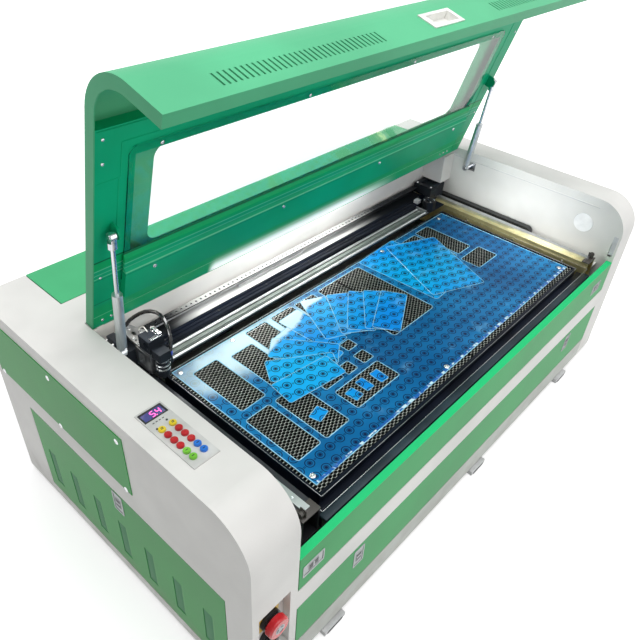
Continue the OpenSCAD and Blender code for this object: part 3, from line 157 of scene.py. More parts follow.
class Graph:
    """The node graph of one material."""

    def __init__(self, name: str) -> None:
        """Starts an empty material.

        Args:
            name: the material's name.
        """
        self.material = bpy.data.materials.new(name)
        self.material.use_nodes = True
        self.tree = self.material.node_tree
        self.tree.nodes.clear()
        self.place = self.add("ShaderNodeTexCoord", {}, {}, "Object")

    def add(self, kind: str, settings: dict, inputs: dict, out: Union[int, str] = 0) -> Val:
        """Adds any node.

        Args:
            kind: the node's type.
            settings: attributes that are set first, such as an operation.
            inputs: values or links, by the socket's name or number.
            out: the output that is returned.
        Returns:
            The chosen output.
        """
        node = self.tree.nodes.new(kind)
        for key, value in settings.items():
            setattr(node, key, value)
        for key, value in inputs.items():
            if isinstance(value, Val):
                self.tree.links.new(value.socket, node.inputs[key])
            else:
                socket = node.inputs[key]
                socket.default_value = (*value, 1) if (
                    isinstance(value, tuple) and socket.type == "RGBA") else value
        return Val(self, node.outputs[out])

    def axes(self) -> tuple[Val, Val, Val]:
        """The place on the piece as its three numbers, in metres."""
        kind = "ShaderNodeSeparateXYZ"
        return tuple(self.add(kind, {}, {0: self.place}, i) for i in range(3))

    def stretched(self, scale: Point) -> Val:
        """The place on the piece, scaled along each axis."""
        return self.add("ShaderNodeMapping", {}, {"Vector": self.place, "Scale": scale})

    def noise(self, scale: float, detail: float = 3.0, place: Union[Val, None] = None) -> Val:
        """Soft noise from 0 to 1.

        Args:
            scale: lumps per metre.
            detail: how many finer layers it has.
            place: the coordinates, or None for the place on the piece.
        Returns:
            The noise's value.
        """
        return self.add("ShaderNodeTexNoise", {},
                        {"Vector": place or self.place, "Scale": scale, "Detail": detail})

    def mix(self, share: Number, a: Union[Colour, Val], b: Union[Colour, Val]) -> Val:
        """Colour a where share is 0 and colour b where it is 1."""
        return self.add("ShaderNodeMix", {"data_type": "RGBA"}, {0: share, 6: a, 7: b}, 2)

    def drift(self, cloud: Val, colour: Colour, dark: float, pale: float,
              lift: float = 0.0) -> Val:
        """A colour that drifts with soft noise from a darker to a paler tone of itself."""
        return self.mix(cloud.step(0.3, 0.7), toned(colour, dark), toned(colour, pale, lift))

    def bump(self, height: Val, depth: float, strength: float = 1.0) -> Val:
        """A normal that rises and falls with height.

        Args:
            height: from 0 to 1.
            depth: how far it rises, in metres.
            strength: how much of it shows.
        Returns:
            The normal.
        """
        return self.add("ShaderNodeBump", {}, {"Height": height, "Distance": depth,
                                               "Strength": strength})

    def facing(self) -> tuple[Val, Val, Val]:
        """The three numbers of the surface's own normal."""
        normal = self.add("ShaderNodeNewGeometry", {}, {}, "Normal")
        return tuple(self.add("ShaderNodeSeparateXYZ", {}, {0: normal}, i) for i in range(3))

    def finish(self, **sockets: Union[Number, Colour]) -> bpy.types.Material:
        """Ends the graph in one principled shader.

        Args:
            sockets: its inputs, with _ for each space in their names.
        Returns:
            The material.
        """
        shader = self.add("ShaderNodeBsdfPrincipled", {}, {
            key.replace("_", " "): value for key, value in sockets.items()})
        end = self.tree.nodes.new("ShaderNodeOutputMaterial")
        self.tree.links.new(shader.socket, end.inputs["Surface"])
        return self.material


def staggered(u: Val, v: Val) -> tuple[Val, Val, Val]:
    """Cells of side 1 in rows, every second row shifted by half a cell.

    Args:
        u: along the rows, in cells.
        v: across the rows, in cells.
    Returns:
        The place in its cell from the cell's middle, along and across, and how far it is.
    """
    a = (u + (v.floor() * 0.5).fract()).fract() - 0.5
    b = v.fract() - 0.5
    return a, b, (a * a + b * b) ** 0.5


# ------------------------------------------------------------------ finishes


@dataclass(frozen=True)
class PowderCoat:
    """Baked powder paint on sheet metal: fine grain, slightly uneven gloss, dusty foot.

    Above a set height the paint takes a paler colour, a painted highlight where a flap's upper
    edge catches the light.
    """

    colour: Colour
    gloss: float = 0.4
    grain: float = 0.00012
    dust: Colour = rgb(172, 168, 160)
    dust_top: float = 0.11
    dust_foot: float = 0.02
    ior: float = 1.34
    # height and colour of the painted highlight on a flap's upper edge
    highlight_z: float = 9.0
    fold_highlight: Colour = rgb(40, 198, 122)

    def make(self, name: str) -> bpy.types.Material:
        """The material, with grain and dust worked out from the place on the piece.

        Args:
            name: the material's name.
        Returns:
            The material.
        """
        g = Graph(name)
        z = g.axes()[2]
        soft = g.noise(5.0)
        fine = g.noise(900.0, 2.0)
        paint = g.drift(soft, self.colour, 0.9, 1.05, 0.004)
        scuffs = g.noise(60.0, 4.0, g.stretched((1.0, 1.0, 3.0))).step(0.66, 0.8)
        low = z.step(self.dust_top, self.dust_foot) * g.noise(24.0).step(0.35, 0.65)
        paint = g.mix(low * 0.3 + scuffs * 0.05, paint, self.dust)
        # painted highlight: above its height the paint turns paler
        paint = g.mix(z > self.highlight_z, paint, self.fold_highlight)
        rough = self.gloss + 0.08 * soft + 0.1 * low
        return g.finish(Base_Color=paint, Roughness=rough, IOR=self.ior,
                        Normal=g.bump(fine, self.grain, 0.6))


@dataclass(frozen=True)
class FoldedPaint:
    """Glossy paint inside the open lid: painted highlights and shade along its folds, and a
    painted glow where the lamp lights its edge.

    A fold line is (distance from the hinge along the lid, half its width, colour of its
    painted highlight or shade, strength).
    The lid is (y of its hinge, z of its hinge, angle that it stands open, in radians). The
    painted glow of the lamp lies from lit_from to lit_to along X and out to lit_deep from the
    hinge.
    """

    colour: Colour
    painted_fold_lines: tuple[tuple[float, float, Colour, float], ...]
    lit_from: float
    lit_to: float
    lit_rise: float = 0.022
    lit_fall: float = 0.25
    lit_deep: float = 0.050
    lid: tuple[float, float, float] = (0.160, 0.493, 1.2811)
    skin: float = 0.005
    # colours of the painted glow, in the base colour and as emission
    lit: Colour = (0.9, 0.95, 0.92)
    glow: Colour = (0.75, 0.80, 0.78)

    def make(self, name: str) -> bpy.types.Material:
        """The material: d = (z - hinge z) sin a - (y - hinge y) cos a, less the skin.

        Args:
            name: the material's name.
        Returns:
            The material.
        """
        g = Graph(name)
        x, y, z = g.axes()
        hinge_y, hinge_z, angle = self.lid
        d = (z - hinge_z) * math.sin(angle) - (y - hinge_y) * math.cos(angle) - self.skin
        cloud = g.noise(6.0)
        paint = g.drift(cloud, self.colour, 0.88, 1.08)
        # painted highlights and shade along the folds
        for at, half, colour, share in self.painted_fold_lines:
            line = (d - at).size().step(half, half * 0.5)
            paint = g.mix(line * share, paint, colour)
        # painted glow of the lamp on the lid's edge; the lining glows though it is no lamp
        along = x.step(self.lit_from, self.lit_from + self.lit_rise) * x.step(
            self.lit_to, self.lit_to - self.lit_fall)
        lit = d.step(self.lit_deep, 0.0) ** 2.1 * along
        return g.finish(Base_Color=g.mix(lit, paint, self.lit),
                        Roughness=0.32 + 0.08 * cloud, IOR=1.22,
                        Emission_Color=g.mix(lit, NONE, self.glow), Emission_Strength=1.0,
                        Normal=g.bump(g.noise(900.0, 2.0), 0.0001, 0.5))


@dataclass(frozen=True)
class Metal:
    """Bare or plated metal with fine lines along one axis."""

    colour: Colour
    gloss: float = 0.28
    lines: Point = (3.0, 500.0, 500.0)
    tint: float = 0.12

    def make(self, name: str) -> bpy.types.Material:
        """The material, with brush lines from stretched noise.

        Args:
            name: the material's name.
        Returns:
            The material.
        """
        g = Graph(name)
        brush = g.noise(1.0, 4.0, g.stretched(self.lines))
        cloud = g.noise(14.0)
        colour = g.drift(brush * 0.6 + cloud * 0.4, self.colour, 1 - self.tint,
                         1 + self.tint)
        return g.finish(Base_Color=colour, Metallic=1.0,
                        Roughness=self.gloss + 0.16 * (brush - 0.5) + 0.08 * cloud,
                        Normal=g.bump(brush, 0.00006, 0.5))


@dataclass(frozen=True)
class Anodised:
    """Dark anodised aluminium: low gloss, pale where edges and handling have worn it."""

    colour: Colour
    gloss: float = 0.3
    worn: Colour = rgb(96, 100, 106)

    def make(self, name: str) -> bpy.types.Material:
        """The material, with die lines along X and small pale scratches.

        Args:
            name: the material's name.
        Returns:
            The material.
        """
        g = Graph(name)
        die = g.noise(1.0, 3.0, g.stretched((2.0, 260.0, 260.0)))
        worn = g.noise(1.0, 5.0, g.stretched((16.0, 90.0, 90.0))).step(0.66, 0.76)
        cloud = g.noise(9.0)
        colour = g.drift(cloud, self.colour, 0.7, 1.5, 0.002)
        return g.finish(Base_Color=g.mix(worn * 0.35, colour, self.worn), Metallic=0.1,
                        IOR=1.25, Roughness=self.gloss + 0.12 * die + 0.1 * worn,
                        Normal=g.bump(die, 0.00005, 0.6))


@dataclass(frozen=True)
class Moulded:
    """Moulded plastic or rubber with a faint texture."""

    colour: Colour
    gloss: float = 0.35
    grain: float = 420.0
    depth: float = 0.00008
    coat: float = 0.0

    def make(self, name: str) -> bpy.types.Material:
        """The material, slightly uneven in colour and gloss.

        Args:
            name: the material's name.
        Returns:
            The material.
        """
        g = Graph(name)
        cloud, fine = g.noise(30.0), g.noise(self.grain, 2.0)
        return g.finish(Base_Color=g.drift(cloud, self.colour, 0.86, 1.08, 0.003),
                        Roughness=self.gloss + 0.1 * (cloud - 0.5), Coat_Weight=self.coat,
                        Normal=g.bump(fine, self.depth, 0.6))


@dataclass(frozen=True)
class Glow:
    """A diffuser with light behind it, or the lit parts of a display."""

    colour: Colour
    strength: float

    def make(self, name: str) -> bpy.types.Material:
        """The material; the light is a little weaker towards the lamp's joints.

        Args:
            name: the material's name.
        Returns:
            The material.
        """
        g = Graph(name)
        joints = ((g.axes()[0] * 9.0).fract() - 0.5).size().step(0.5, 0.42)
        lit = g.mix(joints, toned(self.colour, 0.75), self.colour)
        return g.finish(Base_Color=self.colour, Roughness=0.5, Emission_Color=lit,
                        Emission_Strength=self.strength)


@dataclass(frozen=True)
class Clear:
    """Clear sheet or tube: acrylic or glass with a little tint."""

    colour: Colour
    gloss: float = 0.03
    ior: float = 1.49

    def make(self, name: str) -> bpy.types.Material:
        """The material, with faint wipe marks in its gloss.

        Args:
            name: the material's name.
        Returns:
            The material.
        """
        g = Graph(name)
        wipe = g.noise(1.0, 3.0, g.stretched((6.0, 30.0, 30.0)))
        return g.finish(Base_Color=g.mix(wipe * 0.2, self.colour, toned(self.colour, 0.96)),
                        Roughness=self.gloss + 0.04 * wipe.step(0.55, 0.8),
                        Transmission_Weight=1.0, IOR=self.ior)


@dataclass(frozen=True)
class Film:
    """Blue protective film with a spaced pattern of plain printed rings.

    The rings stand in rows a pitch apart, every second row shifted by half a pitch. Their
    radii are shares of the pitch. A painted sheen, pale like a reflection, lies round a place,
    and a painted glare lies behind the slanting line y = glare_slope x + glare_y.
    """

    deep: Colour
    bright: Colour
    pitch: float = 0.0272
    ring: float = 0.33
    eye: float = 0.17
    ink: Colour = rgb(4, 22, 62)
    crease: Colour = rgb(140, 205, 245)
    # colour of the painted highlight on upright cut edges
    rim: Colour = rgb(196, 236, 250)
    # colour of the painted sheen and the painted glare
    pale: Colour = rgb(214, 240, 246)
    turn: float = 0.0
    # strength, place and spread of a painted sheen, a pale reflection on the film
    painted_sheen: float = 0.0
    painted_sheen_at: tuple[float, float] = (-0.31, 0.045)
    painted_sheen_scale: tuple[float, float] = (3.4, 11.0)
    # strength of the painted glare
    glare_strength: float = 0.0
    glare_slope: float = 0.27
    glare_y: float = 0.074

    def printed(self, g: Graph) -> Val:
        """How much ink there is: rings by the distance to each cell's middle, and squares.

        Args:
            g: the material's graph.
        Returns:
            0 where the film is bare and up to 1 where it is printed.
        """
        turned = g.add("ShaderNodeMapping", {}, {
            "Vector": g.place, "Rotation": (0.0, 0.0, self.turn)})
        u, v = (g.add("ShaderNodeSeparateXYZ", {}, {0: turned}, i) * (1 / self.pitch)
                for i in (0, 1))
        a, b, far = staggered(u, v)
        ring = (far - self.ring).size().step(0.05, 0.02)
        eye = ((far - self.eye).size().step(0.05, 0.02) * 0.7).top(far.step(0.15, 0.09))
        side = (a.size() - 0.5).size()
        square = side.top(b.size()).step(0.09, 0.06) * side.top(b.size()).step(0.02, 0.04)
        worn = (0.85 + 0.4 * g.noise(7.0)).low(1.0)
        return (ring * 0.95).top(eye).top(square * 0.8) * worn

    def make(self, name: str) -> bpy.types.Material:
        """The material: printed rings, pale creases, painted highlights on cut edges, painted
        sheen and painted glare.

        Args:
            name: the material's name.
        Returns:
            The material.
        """
        g = Graph(name)
        ink = self.printed(g)
        crease = g.noise(16.0, 5.0)
        base = g.mix(g.noise(3.2, 4.0).step(0.36, 0.66), self.deep, self.bright)
        base = g.mix(crease.step(0.58, 0.74) * 0.3, base, self.crease)
        base = g.mix(ink, base, self.ink)
        # painted highlight: faces that stand upright, the cut edges, turn pale
        upright = g.facing()[2].size().step(0.8, 0.4)
        base = g.mix(upright * 0.85, base, self.rim)
        x, y = g.axes()[:2]
        # painted sheen: a pale reflection laid round a place on the film
        dx, dy = (x - self.painted_sheen_at[0], y - self.painted_sheen_at[1])
        far = ((dx * self.painted_sheen_scale[0]) ** 2.0 + (dy * self.painted_sheen_scale[1]) ** 2.0) ** 0.5
        sheen_share = (far + 0.7 * (crease - 0.5)).step(1.0, 0.3) * self.painted_sheen
        base = g.mix(sheen_share, base, self.pale)
        # painted glare: a pale reflection behind a slanting line
        over = y - self.glare_slope * x - self.glare_y + 0.05 * (crease - 0.5)
        glare = over.step(0.0, 0.012) * x.step(-0.02, -0.06)
        base = g.mix(glare * (self.glare_strength * 0.8), base, self.pale)
        wave = g.noise(9.0, 2.0) * 0.8 + crease * 0.2
        return g.finish(Base_Color=base, Roughness=0.24 + 0.2 * crease, IOR=1.26,
                        Normal=g.bump(wave, 0.006, 0.5))


@dataclass(frozen=True)
class Area:
    """A box in which a piece wears another colour."""

    lo: Point
    hi: Point
    colour: Colour
    metal: float = 0.0


@dataclass(frozen=True)
class Parts:
    """One piece whose parts have different finishes, told apart by where they are."""

    colour: Colour
    metal: float
    areas: tuple[Area, ...]
    gloss: float = 0.32
    grime: Colour = rgb(20, 22, 24)

    def make(self, name: str) -> bpy.types.Material:
        """The material: each area is the product of its box's six limits.

        Args:
            name: the material's name.
        Returns:
            The material.
        """
        g = Graph(name)
        cloud = g.noise(30.0)
        fine = g.noise(1.0, 3.0, g.stretched((300.0, 4.0, 300.0)))
        colour, metal = self.colour, self.metal
        for area in self.areas:
            inside = 1.0
            for place, lo, hi in zip(g.axes(), area.lo, area.hi):
                inside = (place > lo) * (place < hi) * inside
            colour = g.mix(inside, colour, area.colour)
            metal = inside * area.metal + (1 - inside) * metal
        grime = (cloud.step(0.7, 0.3) * 0.2).top(fine.step(0.6, 0.75) * 0.12)
        return g.finish(Base_Color=g.mix(grime, colour, self.grime), Metallic=metal,
                        Roughness=self.gloss + 0.12 * (cloud - 0.5),
                        Normal=g.bump(fine, 0.00004, 0.5))


@dataclass(frozen=True)
class PaintedGlowTray:
    """Dark channel behind the beam with a painted reflection of the light bar over its middle.

    The painted reflection rises and falls over two stretches of X and lights the flange there
    too. The flange is what lies behind flange_y and above flange_z. The front wall and the gap
    before the flange are black, a painted shadow.
    """

    dark: Colour
    # colour of the painted reflection, and the flange's colour where the reflection lies
    shine: Colour
    flange: Colour
    rise: tuple[float, float] = (-0.41, -0.30)
    fall: tuple[float, float] = (0.34, 0.10)
    flange_y: float = 0.1945
    flange_z: float = 0.3835
    gap_y: float = 0.1915
    gap_z: float = 0.3805
    front_y: float = 0.1802
    # colour of the painted shadow
    black: Colour = (0.006, 0.007, 0.009)

    def make(self, name: str) -> bpy.types.Material:
        """The material: the painted reflection rises and falls along X.

        Args:
            name: the material's name.
        Returns:
            The material.
        """
        g = Graph(name)
        x, y, z = g.axes()
        streak = g.noise(1.0, 3.0, g.stretched((4.0, 160.0, 160.0)))
        # painted reflection of the light bar, which also lights the flange
        glow = x.step(*self.rise) * x.step(*self.fall)
        lit = g.mix((z > self.flange_z) * (y > self.flange_y), self.shine, self.flange)
        colour = g.mix(glow * (0.86 + 0.14 * streak), self.dark, lit)
        # painted shadow in the gap under the flange and on the front wall
        gap = (y > self.gap_y) * (y < self.flange_y) * (z > self.gap_z)
        shade = gap.top(y < self.front_y)
        return g.finish(Base_Color=g.mix(shade, colour, self.black), Roughness=0.42,
                        IOR=1.25)


@dataclass(frozen=True)
class Comb:
    """Foil of the honeycomb: bright cut edges on top, darker walls from soot and painted shade
    inside the cells.
    """

    edge: Colour
    wall: Colour

    def make(self, name: str) -> bpy.types.Material:
        """The material: edges are told from walls by how far they face upwards.

        Args:
            name: the material's name.
        Returns:
            The material.
        """
        g = Graph(name)
        # painted shade and soot: faces that turn from upwards take the dark wall colour
        up = g.facing()[2].step(0.4, 0.8)
        soot = g.noise(9.0, 4.0)
        wall = g.mix(soot.step(0.3, 0.7), self.wall, toned(self.wall, 2.2))
        edge = g.mix(soot.step(0.4, 0.8), self.edge, toned(self.edge, 0.6))
        return g.finish(Base_Color=g.mix(up, wall, edge), Metallic=0.55,
                        Roughness=0.38 + 0.2 * soot)


@dataclass(frozen=True)
class Perforated:
    """Painted sheet with rows of small round holes on an upright face."""

    colour: Colour
    hole: Colour
    pitch: float = 0.0032

    def make(self, name: str) -> bpy.types.Material:
        """The material: a hole is where the cell's middle is near; rows are staggered.

        Args:
            name: the material's name.
        Returns:
            The material.
        """
        g = Graph(name)
        u, v = (place * (1 / self.pitch) for place in g.axes()[1:])
        hole = staggered(u, v)[2].step(0.34, 0.26)
        return g.finish(Base_Color=g.mix(hole, self.colour, self.hole), Roughness=0.5,
                        IOR=1.25)


@dataclass(frozen=True)
class Mottled:
    """Creased clear-blue film: painted highlights on its folds over its own colour."""

    colour: Colour
    # colour of the painted highlights on the folds
    fold_highlight: Colour
    scale: float = 90.0

    def make(self, name: str) -> bpy.types.Material:
        """The material: the painted highlights lie where a stretched noise is high.

        Args:
            name: the material's name.
        Returns:
            The material.
        """
        g = Graph(name)
        crease = g.noise(self.scale, 4.0, g.stretched((1.0, 0.35, 1.0)))
        # painted highlight: pale where the folds' noise is high
        pale = crease.step(0.50, 0.60)
        return g.finish(Base_Color=g.mix(pale, self.colour, self.fold_highlight),
                        Roughness=0.3 - 0.15 * pale, IOR=1.4,
                        Normal=g.bump(crease, 0.0008, 0.6))


class Tone(Enum):
    """Every finish of the machine, by the name of what wears it."""

    # The base frame's grey is the white paint darkened, painted shade on the low rail. The
    # greens of the panels, flap, sides, rear cover, lid and lining are one green paint toned
    # part by part for the light each catches; the lid and rear cover are paler where they face
    # the light.
    WHITE = PowderCoat(rgb(226, 225, 222), 0.36)
    BASE = PowderCoat(rgb(196, 199, 194), 0.45)
    GREEN = PowderCoat(rgb(64, 160, 94), 0.38, ior=1.22)
    # the flap wears a painted highlight along its upper edge
    FLAP = PowderCoat(rgb(64, 162, 96), 0.38, ior=1.22, highlight_z=0.3410)
    SIDE_GREEN = PowderCoat(rgb(62, 156, 80), 0.36, ior=1.24)
    COVER = PowderCoat(rgb(70, 180, 122), 0.38)
    LID = PowderCoat(rgb(78, 176, 128), 0.42)
    # the lining's fold lines are painted highlights (pale) and painted shade (dark)
    LINING = FoldedPaint(rgb(10, 176, 124), (
        (0.168, 0.0022, rgb(8, 84, 50), 0.9), (0.158, 0.0110, rgb(6, 178, 100), 0.8),
        (0.148, 0.0016, rgb(120, 220, 176), 0.6), (0.138, 0.0014, rgb(120, 220, 176), 0.5),
        (0.129, 0.0014, rgb(130, 226, 180), 0.6), (0.124, 0.0012, rgb(4, 130, 96), 0.7),
        (0.065, 0.0014, rgb(6, 120, 84), 0.7), (0.033, 0.0320, rgb(20, 178, 104), 0.7),
        (0.030, 0.0012, rgb(130, 222, 176), 0.6)), -0.335, 0.32)
    RUBBER = Moulded(rgb(38, 38, 40), 0.75)
    STEEL = Metal(rgb(196, 198, 200), 0.24)
    LATCH = Metal(rgb(158, 160, 162), 0.34, (90.0, 90.0, 90.0))
    SCREW = Metal(rgb(214, 216, 218), 0.2, (90.0, 90.0, 90.0))
    TUBE = Metal(rgb(206, 210, 212), 0.36, (400.0, 400.0, 4.0))
    ROD = Metal(rgb(208, 212, 216), 0.14, (300.0, 300.0, 4.0))
    TRAY = PaintedGlowTray(rgb(30, 33, 36), rgb(232, 233, 232), rgb(196, 197, 195))
    BLACK = Anodised(rgb(6, 14, 28), 0.24)
    # pure white for the painted round highlight on the right inner wall
    PLUG = Moulded(rgb(255, 255, 255), 0.4)
    CHARCOAL = Anodised(rgb(40, 54, 62), 0.3)
    SATIN = Anodised(rgb(34, 38, 44), 0.34)
    ALUMINIUM = Metal(rgb(178, 180, 182), 0.32, (120.0, 120.0, 120.0))
    FOIL = Comb(rgb(206, 210, 204), rgb(26, 30, 31))
    MESH = Perforated(rgb(70, 142, 96), rgb(34, 84, 54))
    CREASE = Mottled(rgb(12, 92, 176), rgb(206, 234, 244))
    CHAIN = Moulded(rgb(30, 31, 34), 0.42)
    PALE_CHAIN = Moulded(rgb(206, 207, 208), 0.5)
    HOSE = Moulded(rgb(20, 20, 23), 0.2, 900.0, 0.00003, 0.3)
    BLACK_PLASTIC = Moulded(rgb(24, 24, 27), 0.4)
    WHITE_PLASTIC = Moulded(rgb(236, 236, 232), 0.28)
    PLATE = Moulded(rgb(205, 205, 203), 0.3, 700.0, 0.00003)
    RED = Moulded(rgb(206, 20, 34), 0.25, 500.0, 0.00003, 0.3)
    RED_KEY = Moulded(rgb(190, 26, 38), 0.3, 500.0, 0.00003, 0.2)
    YELLOW = Moulded(rgb(232, 206, 44), 0.3, 500.0, 0.00003, 0.2)
    GREEN_KEY = Moulded(rgb(124, 200, 62), 0.3, 500.0, 0.00003, 0.2)
    BLUE = Moulded(rgb(38, 112, 206), 0.3, 500.0, 0.00003, 0.2)
    CLAMP = Moulded(rgb(34, 78, 158), 0.4)
    ICON = Moulded(rgb(28, 34, 40), 0.4)
    INK = Moulded(rgb(70, 72, 74), 0.4)
    CAP_GREY = Moulded(rgb(190, 192, 196), 0.35)
    END_CAP = Moulded(rgb(62, 58, 54), 0.45)
    SCREEN = Moulded(rgb(88, 84, 150), 0.12, 300.0, 0.00002, 0.5)
    DIGITS = Glow(rgb(255, 96, 176), 1.6)
    LAMP = Glow(rgb(255, 253, 246), 3.5)
    ACRYLIC = Clear(rgb(250, 255, 253), 0.03, 1.33)
    GLASS = Clear(rgb(232, 240, 244), 0.02, 1.47)
    FILM = Film(rgb(2, 92, 148), rgb(20, 134, 196), painted_sheen=0.8)
    PIECES = Film(rgb(0, 140, 230), rgb(14, 182, 244), turn=0.35, glare_strength=1.0)
    # pale blue beads: painted highlights along the film's cut edges
    RIM = Moulded(rgb(150, 214, 242), 0.2, 500.0, 0.00003, 0.3)
    STOP_MOUNT = Parts(rgb(24, 24, 27), 0.0, (
        Area((-1.0, -0.3626, 0.2000), (1.0, -0.3600, 0.2460), rgb(234, 190, 32)),))
    MOTOR = Parts(rgb(30, 32, 36), 0.3, (
        Area((-1.0, -1.0, 0.0), (0.4612, 1.0, 1.0), rgb(206, 208, 210), 1.0),))
    GUIDE = Parts(rgb(128, 138, 133), 0.45, (
        Area((-1.0, 0.1140, 0.3515), (1.0, 0.1210, 1.0), rgb(226, 228, 230), 1.0),
        Area((-1.0, 0.1415, 0.3515), (1.0, 0.1485, 1.0), rgb(226, 228, 230), 1.0)), 0.3)
    RAILS = Parts(rgb(226, 214, 158), 0.75, (
        Area((-1.0, -1.0, 0.0), (-0.4, 1.0, 1.0), rgb(54, 55, 60), 0.3),
        Area((-1.0, -1.0, 0.3502), (1.0, 1.0, 1.0), rgb(204, 206, 208), 1.0)))
    SUPPLY = Metal(rgb(176, 180, 184), 0.36, (300.0, 300.0, 6.0))
    BLUE_FITTING = Moulded(rgb(30, 70, 190), 0.3)
    BELT = Moulded(rgb(40, 40, 42), 0.6)
    WEB = Moulded(rgb(96, 104, 100), 0.5)
    COPPER = Metal(rgb(212, 150, 98), 0.3)

    def material(self) -> bpy.types.Material:
        """The finish's material, made the first time it is asked for."""
        name = "finish_" + self.name.lower()
        return bpy.data.materials.get(name) or self.value.make(name)


NODE_TONES: dict[str, Tone] = {
    "base_frame": Tone.BASE, "feet": Tone.RUBBER, "front_frame": Tone.WHITE,
    "left_cabinet": Tone.WHITE, "right_cabinet": Tone.WHITE, "rear_housing": Tone.WHITE,
    "side_panels": Tone.SIDE_GREEN, "lid_fixings": Tone.STEEL, "y_rails": Tone.RAILS,
    "y_chain_tray": Tone.WHITE, "bed_frame": Tone.BLACK, "honeycomb": Tone.FOIL,
    "film_sheet": Tone.FILM, "cut_protectors": Tone.PIECES, "laser_tube": Tone.GLASS,
    "tube_clamps": Tone.CLAMP, "laser_power_supply": Tone.SUPPLY,
    "keypad_plate": Tone.PLATE, "estop_housing": Tone.STOP_MOUNT, "y_drive": Tone.STEEL,
    "light_bar": Tone.LAMP, "rear_cover": Tone.COVER, "front_flap": Tone.FLAP,
    "lower_door": Tone.GREEN, "left_door": Tone.SIDE_GREEN, "lid_shell": Tone.LID,
    "lid_lining": Tone.LINING, "lid_window": Tone.ACRYLIC, "lid_handle": Tone.WHITE_PLASTIC,
    "strut_tubes": Tone.TUBE, "strut_rods": Tone.ROD, "gantry_beam": Tone.BLACK,
    "x_guide_rail": Tone.GUIDE, "gantry_ends": Tone.SATIN, "x_chain_tray": Tone.TRAY,
    "x_motor": Tone.MOTOR, "head_carriage": Tone.ALUMINIUM, "laser_head": Tone.SATIN,
    "air_hose": Tone.HOSE, "x_cable_chain": Tone.PALE_CHAIN, "y_cable_chain": Tone.CHAIN,
    "estop_button": Tone.RED, "key_switch": Tone.BLACK_PLASTIC, "side_latch": Tone.LATCH,
    **{f"{panel}_latch_{side}": Tone.LATCH for panel in ("flap", "door")
       for side in ("left", "right")},
    **{f"button_yellow_{side}": Tone.YELLOW for side in ("left", "right")},
    **{f"button_red_{k}": Tone.RED_KEY for k in range(1, 7)},
    **{f"button_green_{k}": Tone.GREEN_KEY for k in (1, 2)},
    **{f"button_blue_{k}": Tone.BLUE for k in (1, 2)},
}


def dress_nodes() -> None:
    """Gives every CAD node its finish."""
    for name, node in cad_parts.items():
        node.data.materials.clear()
        node.data.materials.append(NODE_TONES[name].material())
    log.info("dressed %d CAD nodes", len(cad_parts))


# ------------------------------------------------------------------ shapes


def grid_faces(rows: int, cols: int, wrap: bool) -> Array:
    """Quads of a grid of points stored row by row.

    Args:
        rows: how many rows.
        cols: how many points in a row.
        wrap: whether each row closes on itself.
    Returns:
        One row of four point numbers per quad.
    """
    r, c = np.meshgrid(np.arange(rows - 1), np.arange(cols if wrap else cols - 1),
                       indexing="ij")
    d = (c + 1) % cols
    return np.stack([r * cols + c, r * cols + d, (r + 1) * cols + d, (r + 1) * cols + c],
                    -1).reshape(-1, 4)


@dataclass
class Shape:
    """Points with the faces between them, in metres."""

    points: Array
    faces: list

    def placed(self, origin: Sequence[float], normal: Point = (0.0, 0.0, 1.0),
               turn: float = 0.0) -> "Shape":
        """The shape turned so that its own z lies along normal, then moved.

        Its own x stays level. point = origin + x * u + y * v + z * normal.

        Args:
            origin: where the shape's zero goes.
            normal: where its z goes.
            turn: a turn about its z first, in radians.
        Returns:
            A new shape.
        """
        n = np.array(normal, float) / np.linalg.norm(normal)
        u = np.cross((0.0, 0.0, 1.0), n) if abs(n[2]) < 0.999 else np.array((1.0, 0.0, 0.0))
        u /= np.linalg.norm(u)
        v = np.cross(n, u)
        c, s = math.cos(turn), math.sin(turn)
        flat = self.points @ np.array([[c, s, 0], [-s, c, 0], [0, 0, 1]])
        return Shape(flat @ np.stack([u, v, n]) + np.array(origin, float), self.faces)


def closed_grid(points: Array) -> Shape:
    """A skin over rings of points, closed by a flat face at its first and last ring.

    Args:
        points: rings x points per ring x 3.
    Returns:
        The closed shape.
    """
    rows, cols = points.shape[:2]
    faces = [tuple(f) for f in grid_faces(rows, cols, True).tolist()]
    faces.append(tuple(range(cols - 1, -1, -1)))
    faces.append(tuple(range((rows - 1) * cols, rows * cols)))
    return Shape(points.reshape(-1, 3), faces)


def round_outline(width: float, height: float, corner: float, steps: int = 4) -> Array:
    """A rectangle with round corners, anticlockwise.

    Corner k is a quarter circle about its own centre, from 90 k to 90 (k + 1) degrees.

    Args:
        width: along x.
        height: along y.
        corner: radius of the corners.
        steps: points in each corner.
    Returns:
        Points x 2.
    """
    r = max(1e-6, min(corner, width / 2 - 1e-6, height / 2 - 1e-6))
    t = np.linspace(0, np.pi / 2, steps)
    angle = (t[None, :] + np.arange(4)[:, None] * np.pi / 2).ravel()
    sign = np.repeat([(1, 1), (-1, 1), (-1, -1), (1, -1)], steps, axis=0)
    middle = sign * np.array((width / 2 - r, height / 2 - r))
    return middle + r * np.stack([np.cos(angle), np.sin(angle)], 1)


